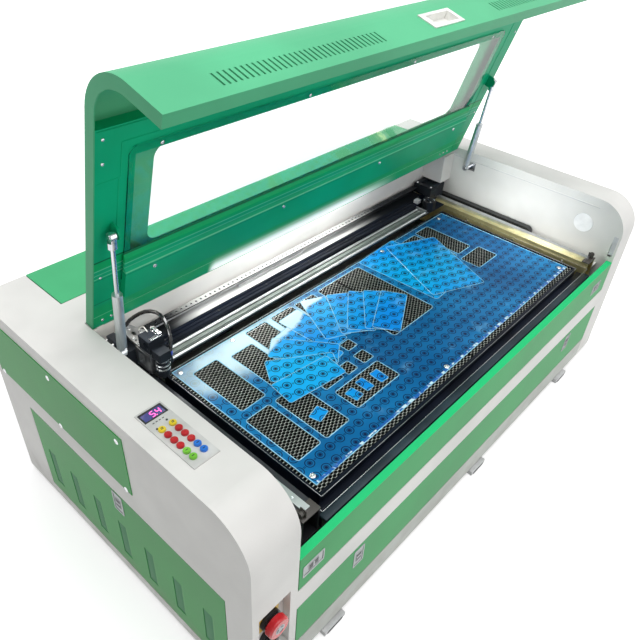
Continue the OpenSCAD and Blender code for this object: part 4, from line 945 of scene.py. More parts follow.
def block(width: float, height: float, depth: float, corner: float = 0.002,
          bevel: float = 0.0006, steps: int = 4) -> Shape:
    """A plate or block with round corners and a rounded upper edge, standing on z = 0.

    At the rounded edge the outline steps in by bevel * (1 - cos t) while it rises by
    bevel * sin t.

    Args:
        width: along x.
        height: along y.
        depth: along z.
        corner: radius of the corners.
        bevel: radius of the upper edge.
        steps: points in each corner.
    Returns:
        The closed shape.
    """
    t = np.linspace(0, np.pi / 2, 4)
    inset = np.concatenate([[0.0], bevel * (1 - np.cos(t))])
    level = np.concatenate([[0.0], depth - bevel + bevel * np.sin(t)])
    rings = [np.column_stack([round_outline(width - 2 * i, height - 2 * i, corner - i, steps),
                              np.full(4 * steps, z)]) for i, z in zip(inset, level)]
    return closed_grid(np.array(rings))


def hoop(width: float, height: float, corner: float, rim: float, depth: float) -> Shape:
    """A flat ring round a rectangular opening, with a rounded crest.

    The rim's section goes up outside, over a rounded crest and down inside.

    Args:
        width: outer size along x.
        height: outer size along y.
        corner: outer corner radius.
        rim: how wide the ring is.
        depth: how high it stands.
    Returns:
        The closed ring.
    """
    into = np.array([0, 0, 0.12, 0.35, 0.65, 0.88, 1, 1, 0]) * rim
    rise = np.array([0, 0.55, 0.85, 1, 1, 0.85, 0.55, 0, 0]) * depth
    rings = np.array([np.column_stack([
        round_outline(width - 2 * i, height - 2 * i, max(corner - i, 0.0003), 5),
        np.full(20, z)]) for i, z in zip(into, rise)])
    return Shape(rings.reshape(-1, 3), [tuple(f) for f in grid_faces(9, 20, True).tolist()])


def spin(profile: Sequence[tuple[float, float]], sides: int = 24) -> Shape:
    """A profile turned about z: point = (r cos t, r sin t, z).

    Args:
        profile: (radius, height) pairs from the bottom to the top.
        sides: how many steps round.
    Returns:
        The closed shape.
    """
    r, z = np.array(profile, float).T
    t = np.linspace(0, 2 * np.pi, sides, endpoint=False)
    points = np.stack([r[:, None] * np.cos(t), r[:, None] * np.sin(t),
                       np.repeat(z[:, None], sides, 1)], -1)
    return closed_grid(points)


def disc(radius: float, height: float, taper: float = 0.0, sides: int = 24) -> Shape:
    """A flat disc standing on z = 0, narrower at its top by the taper."""
    return spin([(0, 0), (radius, 0), (radius - taper, height), (0, height)], sides)


def tube(path: Sequence[Point], radius: float, sides: int = 10) -> Shape:
    """A round section carried along a path.

    Ring k lies square to the path there: centre + radius * (cos t * u + sin t * v), with
    u and v carried on from ring to ring so that the tube doesn't twist.

    Args:
        path: the points of the middle line.
        radius: of the section.
        sides: points in a ring.
    Returns:
        The closed shape.
    """
    p = np.array(path, float)
    along = np.gradient(p, axis=0)
    along /= np.linalg.norm(along, axis=1)[:, None]
    seed = np.array((0.0, 0.0, 1.0)) if abs(along[0][2]) < 0.9 else np.array((1.0, 0.0, 0.0))
    us = []
    for d in along:
        seed = seed - d * (seed @ d)
        seed /= np.linalg.norm(seed)
        us.append(seed)
    u = np.array(us)
    v = np.cross(along, u)
    t = np.linspace(0, 2 * np.pi, sides, endpoint=False)[None, :, None]
    return closed_grid(p[:, None] + radius * (np.cos(t) * u[:, None] + np.sin(t) * v[:, None]))


def smooth_path(points: Sequence[Point], steps: int = 8) -> Array:
    """A Catmull-Rom curve through points.

    Args:
        points: what it passes through.
        steps: how many pieces each span is cut into.
    Returns:
        Points x 3.
    """
    p = np.array(points, float)
    q = np.vstack([2 * p[0] - p[1], p, 2 * p[-1] - p[-2]])
    t = np.linspace(0, 1, steps, endpoint=False)[None, :, None]
    a, b, c, d = (q[i:len(q) - 3 + i, None] for i in range(4))
    curve = 0.5 * (2 * b + (c - a) * t + (2 * a - 5 * b + 4 * c - d) * t ** 2
                   + (3 * b - a - 3 * c + d) * t ** 3)
    return np.vstack([curve.reshape(-1, 3), p[-1:]])


def screw(radius: float = 0.0035, height: float = 0.0022) -> Shape:
    """A pan head with a round socket in it.

    Args:
        radius: of the head.
        height: of the head.
    Returns:
        The closed shape, on z = 0.
    """
    r, h = radius, height
    return spin([(0.0, 0.0), (r, 0.0), (r, h * 0.4), (r * 0.86, h * 0.82), (r * 0.6, h),
                 (r * 0.44, h), (r * 0.36, h * 0.5), (0.0, h * 0.45)], 14)


def bar(a: Sequence[float], b: Sequence[float], bevel: float = 0.0005) -> Shape:
    """A box between two corners with its upper edge rounded.

    Args:
        a: one corner.
        b: the opposite corner.
        bevel: radius of the upper edge and of the upright corners.
    Returns:
        The closed shape.
    """
    lo, hi = np.minimum(a, b), np.maximum(a, b)
    size, mid = hi - lo, (lo + hi) / 2
    return block(*size, bevel, bevel, 2).placed((mid[0], mid[1], lo[2]))


@dataclass
class Piece:
    """One object of the model: shapes gathered under a name, each with its finish."""

    name: str
    body: str
    tones: list[Tone] = field(default_factory=list)
    shapes: list[tuple[Shape, int]] = field(default_factory=list)

    def add(self, shape: Shape, tone: Tone) -> None:
        """Adds a shape in a finish.

        Args:
            shape: what is added, in the machine's frame.
            tone: its finish.
        """
        if tone not in self.tones:
            self.tones.append(tone)
        self.shapes.append((shape, self.tones.index(tone)))

    def make(self, smooth: float = 38.0, merge: bool = True) -> bpy.types.Object:
        """Makes the mesh and lets it ride on its body.

        Args:
            smooth: edges that turn by more than this many degrees stay sharp.
            merge: whether doubled points are joined and normals worked out again.
        Returns:
            The new object.
        """
        marks, points, faces, start = [], [], [], 0
        for shape, mark in self.shapes:
            points.append(shape.points)
            faces += [tuple(int(i) + start for i in f) for f in shape.faces]
            marks += [mark] * len(shape.faces)
            start += len(shape.points)
        mesh = bpy.data.meshes.new(self.name)
        mesh.from_pydata(np.vstack(points).tolist(), [], faces)
        mesh.polygons.foreach_set("material_index", marks)
        for tone in self.tones:
            mesh.materials.append(tone.material())
        if merge:
            work = bmesh.new()
            work.from_mesh(mesh)
            bmesh.ops.remove_doubles(work, verts=work.verts, dist=1e-6)
            bmesh.ops.recalc_face_normals(work, faces=work.faces)
            work.to_mesh(mesh)
            work.free()
        mesh.polygons.foreach_set("use_smooth", [True] * len(mesh.polygons))
        mesh.set_sharp_from_angle(angle=math.radians(smooth))
        thing = bpy.data.objects.new(self.name, mesh)
        bpy.context.scene.collection.objects.link(thing)
        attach(thing, self.body)
        log.info("%s: %d faces on %s", self.name, len(mesh.polygons), self.body)
        return thing


# ------------------------------------------------------------------ the machine's trim


LEFT: Point = (-1.0, 0.0, 0.0)
RIGHT: Point = (1.0, 0.0, 0.0)
FRONT: Point = (0.0, -1.0, 0.0)
BACK: Point = (0.0, 1.0, 0.0)


@dataclass
class LidTrim:
    """What is fixed to the lid: its screws, its lining's folded seams and hinge screws.

    A place on the lid is (x, d, n): along the machine, out from the hinge along the skin,
    and in from the skin, all in metres. The lid stands open by an angle about its hinge.
    A seam is its two ends as (x, d), which lie level or upright.
    """

    angle: float = math.radians(73.4)
    hinge_y: float = 0.160
    hinge_z: float = 0.493
    edge: float = 0.155
    top: float = 0.498
    inner: float = 0.020
    pane: float = 0.033
    x0: float = -0.596
    x1: float = 0.615
    screw_xs: tuple = (-0.483, -0.160, 0.163, 0.486)
    upper_d: float = 0.370
    lower_d: float = 0.117
    side_ds: tuple = (0.130, 0.364, 0.405)
    side_in: float = 0.012
    seams: tuple = (
        ((-0.552, 0.392), (x1 - 0.004, 0.392)), ((x0 + 0.003, 0.330), (-0.556, 0.330)),
        ((-0.553, 0.330), (-0.553, 0.391)), ((-0.556, 0.012), (-0.556, 0.330)),
        ((0.572, 0.012), (0.572, 0.391)), ((-0.550, 0.030), (0.568, 0.030)))
    lip: tuple = ((x0 + 0.003, 0.418), (x1 - 0.004, 0.418))
    hinge_xs: tuple = (-0.560, 0.530)
    hinge_d: float = 0.016
    hinge_pitch: float = 0.018

    def at(self, x: float, d: float, n: float) -> Array:
        """The point of the open lid at (x, d, n).

        The closed lid's point turns about the hinge by the lid's angle.

        Args:
            x: along the machine.
            d: out from the hinge along the skin.
            n: in from the skin.
        Returns:
            The point in the machine's frame.
        """
        y, z = self.edge - d - self.hinge_y, self.top - n - self.hinge_z
        c, s = math.cos(self.angle), math.sin(self.angle)
        return np.array((x, self.hinge_y + y * c + z * s, self.hinge_z - y * s + z * c))

    def laid(self, shape: Shape, x: float, d: float, n: float) -> Shape:
        """A shape drawn on z = 0, laid on the lining and facing inwards.

        Args:
            shape: what is laid.
            x: along the machine.
            d: out from the hinge along the skin.
            n: in from the skin.
        Returns:
            The placed shape.
        """
        s, c = math.sin(self.angle), math.cos(self.angle)
        turn = np.array([[1, 0, 0], [0, c, -s], [0, -s, -c]])
        return Shape(shape.points @ turn + self.at(x, d, n),
                     [tuple(reversed(f)) for f in shape.faces])

    def seam(self, a: tuple[float, float], b: tuple[float, float], width: float = 0.0012,
             rise: float = 0.0007) -> Shape:
        """A folded seam on the lining.

        Args:
            a: one end as (x, d).
            b: the other end, level with a or straight out from it.
            width: across the seam.
            rise: how high it stands.
        Returns:
            The seam.
        """
        size = np.maximum(np.subtract(b, a), width)
        x, d = np.add(a, b) / 2
        return self.laid(block(*size, rise, 0.0003, 0.0003, 2), x, d, self.inner)

    def build_screws(self) -> None:
        """Makes the window's screws in two rows and the lining's at both ends."""
        screws = Piece("lid_screws", "lid")
        for x in self.screw_xs:
            for d, n in ((self.upper_d, self.inner), (self.lower_d, self.pane)):
                screws.add(self.laid(screw(0.0042, 0.0026), x, d, n), Tone.SCREW)
        for d in self.side_ds:
            for x in (self.x0 + self.side_in, self.x1 - self.side_in):
                screws.add(self.laid(screw(0.0028, 0.0018), x, d, self.inner), Tone.SCREW)
        screws.make()

    def build_seams(self) -> None:
        """Makes the seams and the heavier one along the lip."""
        seams = Piece("lid_seams", "lid")
        for a, b in self.seams:
            seams.add(self.seam(a, b), Tone.LINING)
        seams.add(self.seam(*self.lip, 0.0015, 0.001), Tone.LINING)
        seams.make()

    def build(self) -> None:
        """Makes the screws, the seams and three screws at each hinge."""
        self.build_screws()
        self.build_seams()
        hinge = Piece("lid_hinge_screws", "lid")
        for x in self.hinge_xs:
            for k in (-1, 0, 1):
                hinge.add(self.laid(screw(0.003, 0.0018), x + k * self.hinge_pitch,
                                    self.hinge_d, self.inner), Tone.SCREW)
        hinge.make()


@dataclass
class LatchTrim:
    """Bezels, cups and levers of the five paddle latches.

    Each latch is (panel body, paddle body, CAD node, direction it faces). The flap's
    latches lie flat and the others stand upright.
    """

    long: float = 0.045
    short: float = 0.024
    rim: float = 0.0032
    latches: tuple = (
        ("flap", "flap_paddle_left", "flap_latch_left", FRONT),
        ("flap", "flap_paddle_right", "flap_latch_right", FRONT),
        ("door", "door_paddle_left", "door_latch_left", FRONT),
        ("door", "door_paddle_right", "door_latch_right", FRONT),
        ("end_door", "end_door_paddle", "side_latch", LEFT))

    def bezel(self, w: float, h: float) -> Shape:
        """The rim round a paddle of w by h."""
        return hoop(w + 2 * self.rim, h + 2 * self.rim, 0.003, self.rim, 0.0013)

    def cup(self, w: float, h: float) -> list[tuple[Shape, Tone]]:
        """A paddle's dark cup with its bright edge and the lever across it.

        Args:
            w: the paddle's width.
            h: the paddle's height.
        Returns:
            Each shape with its finish, drawn on z = 0.
        """
        flat = w > h
        cw, ch = (w * 0.5, h * 0.62) if flat else (w * 0.62, h * 0.5)
        lever = (0.004, ch * 0.8) if flat else (cw * 0.8, 0.004)
        return [(block(cw, ch, 0.0005, 0.0015, 0.0002), Tone.BLACK_PLASTIC),
                (hoop(cw + 0.0012, ch + 0.0012, 0.002, 0.0009, 0.0009), Tone.LATCH),
                (block(*lever, 0.0013, 0.001, 0.0005), Tone.LATCH)]

    def build(self) -> None:
        """Makes a bezel on the panel and a cup with a lever on each paddle."""
        for panel, paddle, node, facing in self.latches:
            lo, hi = (np.array(corner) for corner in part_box(node))
            axis = 1 if facing == FRONT else 0
            face = (lo + hi) / 2
            face[axis] = lo[axis]
            flat = node.startswith("flap")
            w, h = (self.long, self.short) if flat else (self.short, self.long)
            bezel = Piece(node + "_bezel", panel)
            bezel.add(self.bezel(w, h).placed(face, facing), Tone.LATCH)
            bezel.make()
            cup = Piece(node + "_cup", paddle)
            for shape, tone in self.cup(w, h):
                cup.add(shape.placed(face, facing), tone)
            cup.make()


@dataclass
class CabinetTrim:
    """What is fixed to the cabinet: screws, wall seam and a painted round highlight, bed
    strip, feet, screens.

    What lies on the right inner wall is (y from, y to, z from, z to). A cap on a rail's
    front end is (x from, x to, how far back it reaches). A part before a front foot is
    (half its width, y from, y to, z from, z to, its bevel, its finish).
    """

    panel_ys: tuple = (-0.072, 0.132, 0.341)
    panel_zs: tuple = (0.332, 0.452)
    rear_xs: tuple = (-0.66, -0.40, -0.14, 0.14, 0.40, 0.66)
    rear_zs: tuple = (0.055, 0.465)
    rear_y: float = 0.377
    outlet_x: float = 0.0095
    outlet_z: float = 0.240
    outlet_r: float = 0.070
    wall_x: float = 0.6175
    catch: tuple = (-0.371, -0.359, 0.360, 0.414)
    seam: tuple = (-0.300, 0.152, 0.4745, 0.4757)
    shadow: tuple = (-0.300, 0.152, 0.4735, 0.4744)
    # place and size of a painted round highlight on the right inner wall
    wall_glint_y: float = -0.270
    wall_glint_z: float = 0.420
    wall_glint_r: float = 0.0255
    strip: tuple = ((-0.5080, -0.3520, 0.3192), (0.5430, -0.3345, 0.3240))
    foot_xs: tuple = (-0.493, 0.043, 0.502)
    foot_parts: tuple = (
        (0.030, -0.3862, -0.3700, 0.0005, 0.0125, 0.0006, Tone.PALE_CHAIN),
        # painted shade: a thin dark strip across the plate's foot
        (0.022, -0.3868, -0.3850, 0.0002, 0.0055, 0.0003, Tone.RUBBER))
    louvres: int = 7
    louvre_y: float = -0.023
    louvre_z: float = 0.129
    louvre_pitch: float = 0.082
    screen_in: float = 0.0012
    caps: tuple = ((-0.5535, -0.5105, -0.3140), (0.5455, 0.5885, -0.3200))
    cap_front: float = -0.3400
    cap_z: tuple = (0.3502, 0.3530)

    def build_screws(self) -> None:
        """Makes the screws of the side panels and those round the rear panel and outlet."""
        sides = Piece("side_panel_screws", "cabinet")
        lo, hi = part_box("side_panels")
        head = spin([(0, 0), (0.0055, 0), (0.0055, 0.0004), (0.0042, 0.0012),
                     (0.0018, 0.0014), (0.0012, 0.0006), (0, 0.0006)], 16)
        for x, facing in ((lo.x, LEFT), (hi.x, RIGHT)):
            for y in self.panel_ys:
                for z in self.panel_zs:
                    sides.add(head.placed((x, y, z), facing), Tone.SCREW)
        sides.make()
        rear = Piece("rear_panel_screws", "cabinet")
        for x in self.rear_xs:
            for z in self.rear_zs:
                rear.add(screw(0.0045, 0.0024).placed((x, self.rear_y, z), BACK), Tone.SCREW)
        for t in np.arange(6) * math.pi / 3 + 0.3:
            place = (self.outlet_x + self.outlet_r * math.cos(t), self.rear_y,
                     self.outlet_z + self.outlet_r * math.sin(t))
            rear.add(screw(0.003, 0.002).placed(place, BACK), Tone.SCREW)
        rear.make()

    def on_wall(self, y0: float, y1: float, z0: float, z1: float,
                bevel: float = 0.0005) -> Shape:
        """A low strip on the right inner wall, between two places along Y and two up Z."""
        return bar((self.wall_x + 0.0004, y0, z0), (self.wall_x + 0.002, y1, z1), bevel)

    def build_wall(self) -> None:
        """Makes the right inner wall's catch, its seam with the shadow under it, and a white
        disc with a grey ring, a painted round highlight.
        """
        wall = Piece("right_wall_fittings", "cabinet")
        wall.add(self.on_wall(*self.catch), Tone.CAP_GREY)
        wall.add(self.on_wall(*self.seam, 0.0003), Tone.WHITE)
        wall.add(self.on_wall(*self.shadow), Tone.CAP_GREY)
        # painted highlight: a pure white disc ringed in grey
        r = self.wall_glint_r
        wall.add(disc(r, 0.0002, sides=48).placed((self.wall_x, self.wall_glint_y, self.wall_glint_z),
                                                  LEFT), Tone.PLUG)
        inner, outer = r + 0.0001, r + 0.0011
        line = spin([(outer, 0), (outer, 0.0003), (inner, 0.0003), (inner, 0)], 48)
        wall.add(line.placed((self.wall_x + 0.0015, self.wall_glint_y, self.wall_glint_z), LEFT),
                 Tone.CAP_GREY)
        wall.make()

    def build_front(self) -> None:
        """Makes the strip before the bed, and each front foot's plate with a dark strip of
        painted shade across its foot.
        """
        strip = Piece("bed_front_strip", "cabinet")
        strip.add(bar(*self.strip, 0.0018), Tone.CHARCOAL)
        strip.make()
        plates = Piece("foot_plates", "cabinet")
        for x in self.foot_xs:
            for half, y0, y1, z0, z1, bevel, tone in self.foot_parts:
                plates.add(bar((x - half, y0, z0), (x + half, y1, z1), bevel), tone)
        plates.make()

    def build_screens(self) -> None:
        """Makes the perforated screens behind the end door's louvres."""
        screens = Piece("louvre_screens", "end_door")
        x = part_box("left_door")[0].x + self.screen_in
        for k in range(self.louvres):
            y = self.louvre_y + (k - (self.louvres - 1) / 2) * self.louvre_pitch
            screens.add(block(0.0286, 0.1016, 0.0004, 0.0002, 0.0001).placed(
                (x, y, self.louvre_z), LEFT), Tone.MESH)
        screens.make()

    def build_caps(self) -> None:
        """Makes the caps on the front ends of both Y rails."""
        caps = Piece("rail_end_caps", "cabinet")
        for x0, x1, back in self.caps:
            caps.add(bar((x0, self.cap_front, self.cap_z[0]), (x1, back, self.cap_z[1])),
                     Tone.END_CAP)
        caps.make()

    def build(self) -> None:
        """Makes every group in order."""
        self.build_screws()
        self.build_wall()
        self.build_front()
        self.build_screens()
        self.build_caps()


@dataclass
class KeypadTrim:
    """Bezel, screen and seven-bar digits of the display, lamps and marks of the keys.

    A digit's bar is named by the usual letters: a, g and d lie level from the top down, f
    and b stand at the upper left and right, and c at the lower right.
    """

    x: float = -0.64925
    y: float = -0.1035
    z: float = 0.4985
    top: float = 0.500
    glass: float = 0.0006
    digits: tuple = (("5", -0.0005), ("4", 0.0098))
    digit_w: float = 0.0062
    digit_h: float = 0.0112
    lean: float = 0.14
    dot: tuple = (0.0042, -0.0056)
    lamps: tuple = ((-0.6640, -0.1345), (-0.6420, -0.1290))
    label: tuple = (-0.6610, -0.1215)
    label_pitch: float = 0.0058
    bars: dict = field(default_factory=lambda: {"5": "afgcd", "4": "fgbc"})
    key_marks: dict = field(default_factory=lambda: {
        "button_yellow_left": 2, "button_yellow_right": 2, "button_green_1": 1,
        "button_green_2": 1, "button_blue_1": 1, "button_blue_2": 1})

    def digit(self, sign: str, x: float, y: float) -> list[Shape]:
        """The lit bars of one digit, leaning a little to the right.

        Args:
            sign: "4" or "5".
            x: its middle.
            y: its middle.
        Returns:
            One shape per bar.
        """
        spots = {"a": (0, 1, 1), "g": (0, 0, 1), "d": (0, -1, 1), "f": (-1, 0.5, 0),
                 "b": (1, 0.5, 0), "c": (1, -0.5, 0)}
        w, h = self.digit_w, self.digit_h
        out = []
        for name in self.bars[sign]:
            sx, sy, level = spots[name]
            size = (w * 0.84, 0.0016) if level else (0.0016, h * 0.44)
            px, py = sx * w / 2, sy * h / 2
            out.append(block(*size, 0.0004, 0.0005, 0.0002, 2).placed(
                (x + px + py * self.lean, y + py, self.z + self.glass)))
        return out

    def build_display(self) -> None:
        """Makes the bezel, the glass, the digits and the point between them."""
        show = Piece("display", "cabinet")
        middle = (self.x, self.y, self.z)
        show.add(hoop(0.0435, 0.023, 0.0022, 0.0032, 0.0021).placed(middle),
                 Tone.BLACK_PLASTIC)
        show.add(block(0.0378, 0.0172, self.glass, 0.0008, 0.0001).placed(middle),
                 Tone.SCREEN)
        for sign, dx in self.digits:
            for shape in self.digit(sign, self.x + dx, self.y):
                show.add(shape, Tone.DIGITS)
        show.add(disc(0.0009, 0.0003, 0.0001, 10).placed(
            (self.x + self.dot[0], self.y + self.dot[1], self.z + self.glass)), Tone.DIGITS)
        show.make()

    def build_lamps(self) -> None:
        """Makes the two small lamps and the row of plain marks above them."""
        lamps = Piece("keypad_lamps", "cabinet")
        dome = spin([(0, 0), (0.0019, 0), (0.0017, 0.0008), (0.0008, 0.0013), (0, 0.0014)],
                    14)
        for x, y in self.lamps:
            lamps.add(dome.placed((x, y, self.top)), Tone.BLACK_PLASTIC)
        for k in range(4):
            lamps.add(block(0.0036, 0.0018, 0.00012, 0.0003, 0.00005, 2).placed(
                (self.label[0] + self.label_pitch * k, self.label[1], self.top)), Tone.INK)
        lamps.make()

    def build_marks(self) -> None:
        """Makes one or two short dashes on each coloured key."""
        for node, count in self.key_marks.items():
            lo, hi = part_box(node)
            x, y = (lo.x + hi.x) / 2, (lo.y + hi.y) / 2
            mark = Piece(node + "_mark", node + "_key")
            for k in range(count):
                mark.add(block(0.0046, 0.0014, 0.0002, 0.0004, 0.0001, 2).placed(
                    (x + 0.0006 * k, y + 0.0024 * (k - count / 2 + 0.5), hi.z)), Tone.ICON)
            mark.make()

    def build(self) -> None:
        """Makes the display, the lamps and the marks on the keys."""
        self.build_display()
        self.build_lamps()
        self.build_marks()


@dataclass
class StopTrim:
    """The rings round the stop button and the switch, and the button's pale middle."""

    housing_y: float = -0.3704
    switch_y: float = -0.3690
    stop_d: float = 0.034
    switch_d: float = 0.030
    arrow_r: float = 0.0068

    def collar(self, name: str, node: str, size: float, y: float) -> None:
        """Makes a steel ring round a CAD node that faces forwards.

        Args:
            name: of the new piece.
            node: what the ring goes round.
            size: the ring's outer diameter.
            y: the face on which it lies.
        """
        lo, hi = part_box(node)
        ring = Piece(name, "cabinet")
        ring.add(hoop(size, size, size / 2, 0.0022, 0.0012).placed(
            ((lo.x + hi.x) / 2, y, (lo.z + hi.z) / 2), FRONT), Tone.STEEL)
        ring.make()

    def build_middle(self) -> None:
        """Makes the button's pale middle and the three curved arrows round it."""
        lo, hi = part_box("estop_button")
        face = ((lo.x + hi.x) / 2, lo.y, (lo.z + hi.z) / 2)
        middle = Piece("stop_button_middle", "stop_head")
        middle.add(spin([(0, 0), (0.0098, 0), (0.0094, 0.0005), (0.004, 0.0009),
                         (0, 0.001)], 28).placed(face, FRONT), Tone.CAP_GREY)
        for k in range(3):
            turns = np.linspace(0.2, 1.5, 7) + k * 2 * math.pi / 3
            arc = self.arrow_r * np.stack([np.cos(turns), np.sin(turns), 0 * turns], 1)
            middle.add(tube(arc + (0.0, 0.0, 0.001), 0.0005, 6).placed(face, FRONT),
                       Tone.ICON)
        middle.make()

    def build(self) -> None:
        """Makes both rings and the button's middle."""
        self.collar("stop_collar", "estop_button", self.stop_d, self.housing_y)
        self.build_middle()
        self.collar("key_collar", "key_switch", self.switch_d, self.switch_y)


@dataclass
class BedTrim:
    """The fine honeycomb, the film's edges with painted highlights, its pins and crease, and
    the bed frame's edges with painted highlights.

    A sine wave is (its length, its share). A painted highlight on the bed frame is a bright
    strip given as (how far in from the frame's edge, how wide).
    """

    side: float = 0.0046
    foil: float = 0.0006
    low: float = 0.3255
    high: float = 0.3386
    halves: tuple = ((-0.4815, 0.0175), (0.0185, 0.5165))
    front: float = -0.311
    back: float = 0.098
    rim_rise: float = 0.00035
    rim_foot: float = 0.00005
    pins: tuple = ((-0.466, -0.281), (-0.464, 0.084), (-0.057, -0.290), (-0.320, 0.088),
                   (0.473, 0.084), (0.488, -0.286), (0.210, 0.088))
    waves: tuple = ((0.061, 0.5), (0.0234, 0.3), (0.0131, 0.35), (0.0071, 0.25))
    drifts: tuple = ((0.31, 1.0), (0.083, 0.7), (0.019, 0.5))
    crease_deep: float = 0.0050
    crease_rise: float = 0.0011
    crease_thick: float = 0.00025
    # bright strips along the frame's edges: painted highlights
    frame_highlights: tuple = ((0.0, 0.0009), (0.0215, 0.0007))
    tray: Point = (0.0175, -0.1065, 0.300)
    tray_size: Point = (0.99, 0.40, 0.0012)

    def ribbons(self, x0: float, x1: float, y0: float, y1: float) -> Shape:
        """Foil strips that zigzag along X and make hexagonal cells between them.

        One strip goes flat, up, flat, down over three sides' length, half a cell high, and
        the next one is its mirror image. Each is a thin band with its four long faces.

        Args:
            x0: left end.
            x1: right end.
            y0: front.
            y1: back.
        Returns:
            All the strips.
        """
        a = self.side
        rise = a * math.sqrt(3) / 2
        count = int((x1 - x0) / (3 * a))
        beat_x = np.array([0.0, a, 1.5 * a, 2.5 * a])
        beat_y = np.array([0.0, 0.0, 1.0, 1.0])
        xs = (x0 + beat_x[None] + 3 * a * np.arange(count)[:, None]).ravel()
        ys = np.tile(beat_y, count)
        rows = np.arange(int((y1 - y0) / rise))
        flip = (rows % 2)[:, None]
        up = np.where(flip == 1, 1 - ys[None], ys[None])
        y = y0 + (rows[:, None] + up) * rise + np.where(up > 0.5, -1, 1) * self.foil * 0.6
        x = np.broadcast_to(xs, y.shape)
        t, lo, hi = self.foil / 2, self.low, self.high
        ring = np.stack([np.stack([x, y + dy, np.full_like(y, z)], -1)
                         for dy, z in ((-t, lo), (-t, hi), (t, hi), (t, lo))], 2)
        n = len(xs)
        one = np.concatenate([grid_faces(n, 4, True), [[3, 2, 1, 0]],
                              [np.arange(4) + 4 * (n - 1)]])
        faces = (one[None] + (rows * n * 4)[:, None, None]).reshape(-1, 4)
        return Shape(ring.reshape(-1, 3), faces.tolist())

    def outline(self, node: str) -> tuple[Array, Array]:
        """The edges round a flat CAD node's upper faces and round the holes in them.

        An edge belongs to the outline if only one level upper face has it.

        Args:
            node: the CAD node.
        Returns:
            The edges' first ends and their second ends, the upper face on their left.
        """
        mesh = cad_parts[node].data
        co = np.zeros(len(mesh.vertices) * 3)
        mesh.vertices.foreach_get("co", co)
        mesh.calc_loop_triangles()
        tri = np.zeros(len(mesh.loop_triangles) * 3, int)
        mesh.loop_triangles.foreach_get("vertices", tri)
        places, same = np.unique(np.round(co.reshape(-1, 3), 5), axis=0, return_inverse=True)
        tri = same.ravel()[tri].reshape(-1, 3)
        p = places[tri]
        across = np.cross(p[:, 1] - p[:, 0], p[:, 2] - p[:, 0])
        up = tri[across[:, 2] > 0.9 * np.linalg.norm(across, axis=1)]
        edge = np.concatenate([up[:, [0, 1]], up[:, [1, 2]], up[:, [2, 0]]])
        _, first, often = np.unique(np.sort(edge, 1), axis=0, return_index=True,
                                    return_counts=True)
        a, b = (places[edge[first[often == 1], i]] for i in (0, 1))
        keep = np.linalg.norm(b - a, axis=1) > 2e-4
        return a[keep], b[keep]

    def rims(self, node: str, width: float) -> Shape:
        """Low pale beads along a flat CAD node's outline: painted highlights on its cut edges.

        Each bead is a bar along its edge with a narrower crest, a little longer than the
        edge so that the beads meet at the corners.

        Args:
            node: the CAD node.
            width: of the bead's foot.
        Returns:
            All the beads.
        """
        a, b = self.outline(node)
        along = b - a
        along /= np.linalg.norm(along, axis=1)[:, None]
        lift = np.array((0.0, 0.0, 1.0))
        side = np.cross(lift, along)
        rows = []
        for end, out in ((a, -1), (b, 1)):
            base = end + along * out * width * 0.3
            foot, crest = base - lift * self.rim_foot, base + lift * self.rim_rise
            rows.append(np.stack([foot - side * width / 2, crest - side * width / 5,
                                  crest + side * width / 5, foot + side * width / 2], 1))
        points = np.concatenate(rows, 1).reshape(-1, 3)
        one = np.array([[0, 1, 5, 4], [1, 2, 6, 5], [2, 3, 7, 6], [3, 0, 4, 7],
                        [3, 2, 1, 0], [4, 5, 6, 7]])
        faces = (one[None] + 8 * np.arange(len(a))[:, None, None]).reshape(-1, 4)
        return Shape(points, faces.tolist())

    def crease(self, lo: Vector, hi: Vector) -> Shape:
        """The creased front edge of the film, a narrow sheet of small sharp waves.

        The height is a sum of sines with fixed phases, larger towards the free edge, and
        the edge wanders in and out by another such sum.

        Args:
            lo: the film's lowest corner.
            hi: the film's highest corner.
        Returns:
            The closed sheet.
        """
        u = np.linspace(lo.x + 0.004, hi.x - 0.004, 520)[:, None]
        v = np.linspace(0, 1, 7)[None, :]
        rng = np.random.default_rng(7)
        waves, drift = (sum(np.sin(2 * np.pi * u / step + rng.uniform(0, 6.28)) * size
                            for step, size in sines)
                        for sines in (self.waves, self.drifts))
        y = lo.y + 0.0005 + self.crease_deep * v + 0.0012 * (1 - v) * drift
        z = (hi.z + 0.00012 + self.crease_rise * (1 - v) * np.abs(waves)
             + 0.0002 * np.abs(waves))
        top = np.stack(np.broadcast_arrays(u, y, z), -1)
        foot = top.copy()
        foot[..., 2] -= self.crease_thick
        return closed_grid(np.concatenate([top, foot[:, ::-1]], 1))

    def build_comb(self) -> None:
        """Makes the honeycomb in two halves; the first stands in for the CAD node."""
        for k, (x0, x1) in enumerate(self.halves):
            comb = Piece(f"honeycomb_cells_{k + 1}", "cabinet")
            comb.add(self.ribbons(x0, x1, self.front, self.back), Tone.FOIL)
            thing = comb.make(10.0, merge=False)
            if k == 0:
                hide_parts("honeycomb")

    def build_film(self) -> None:
        """Makes pale beads that paint highlights along the film's and the cut pieces' edges,
        the front crease and the pins.
        """
        for name, node, width in (("film_cut_edges", "film_sheet", 0.0020),
                                  ("protector_edges", "cut_protectors", 0.0015)):
            rim = Piece(name, "cabinet")
            rim.add(self.rims(node, width), Tone.RIM)
            rim.make(merge=False)
        lo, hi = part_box("film_sheet")
        front = Piece("film_front_crease", "cabinet")
        front.add(self.crease(lo, hi), Tone.CREASE)
        front.make(60.0, merge=False)
        pins = Piece("film_pins", "cabinet")
        pin = spin([(0, 0), (0.0058, 0), (0.0058, 0.0010), (0.0050, 0.0018),
                    (0.0026, 0.0024), (0.0012, 0.0018), (0, 0.0018)], 20)
        for x, y in self.pins:
            pins.add(pin.placed((x, y, hi.z)), Tone.SCREW)
        pins.make()

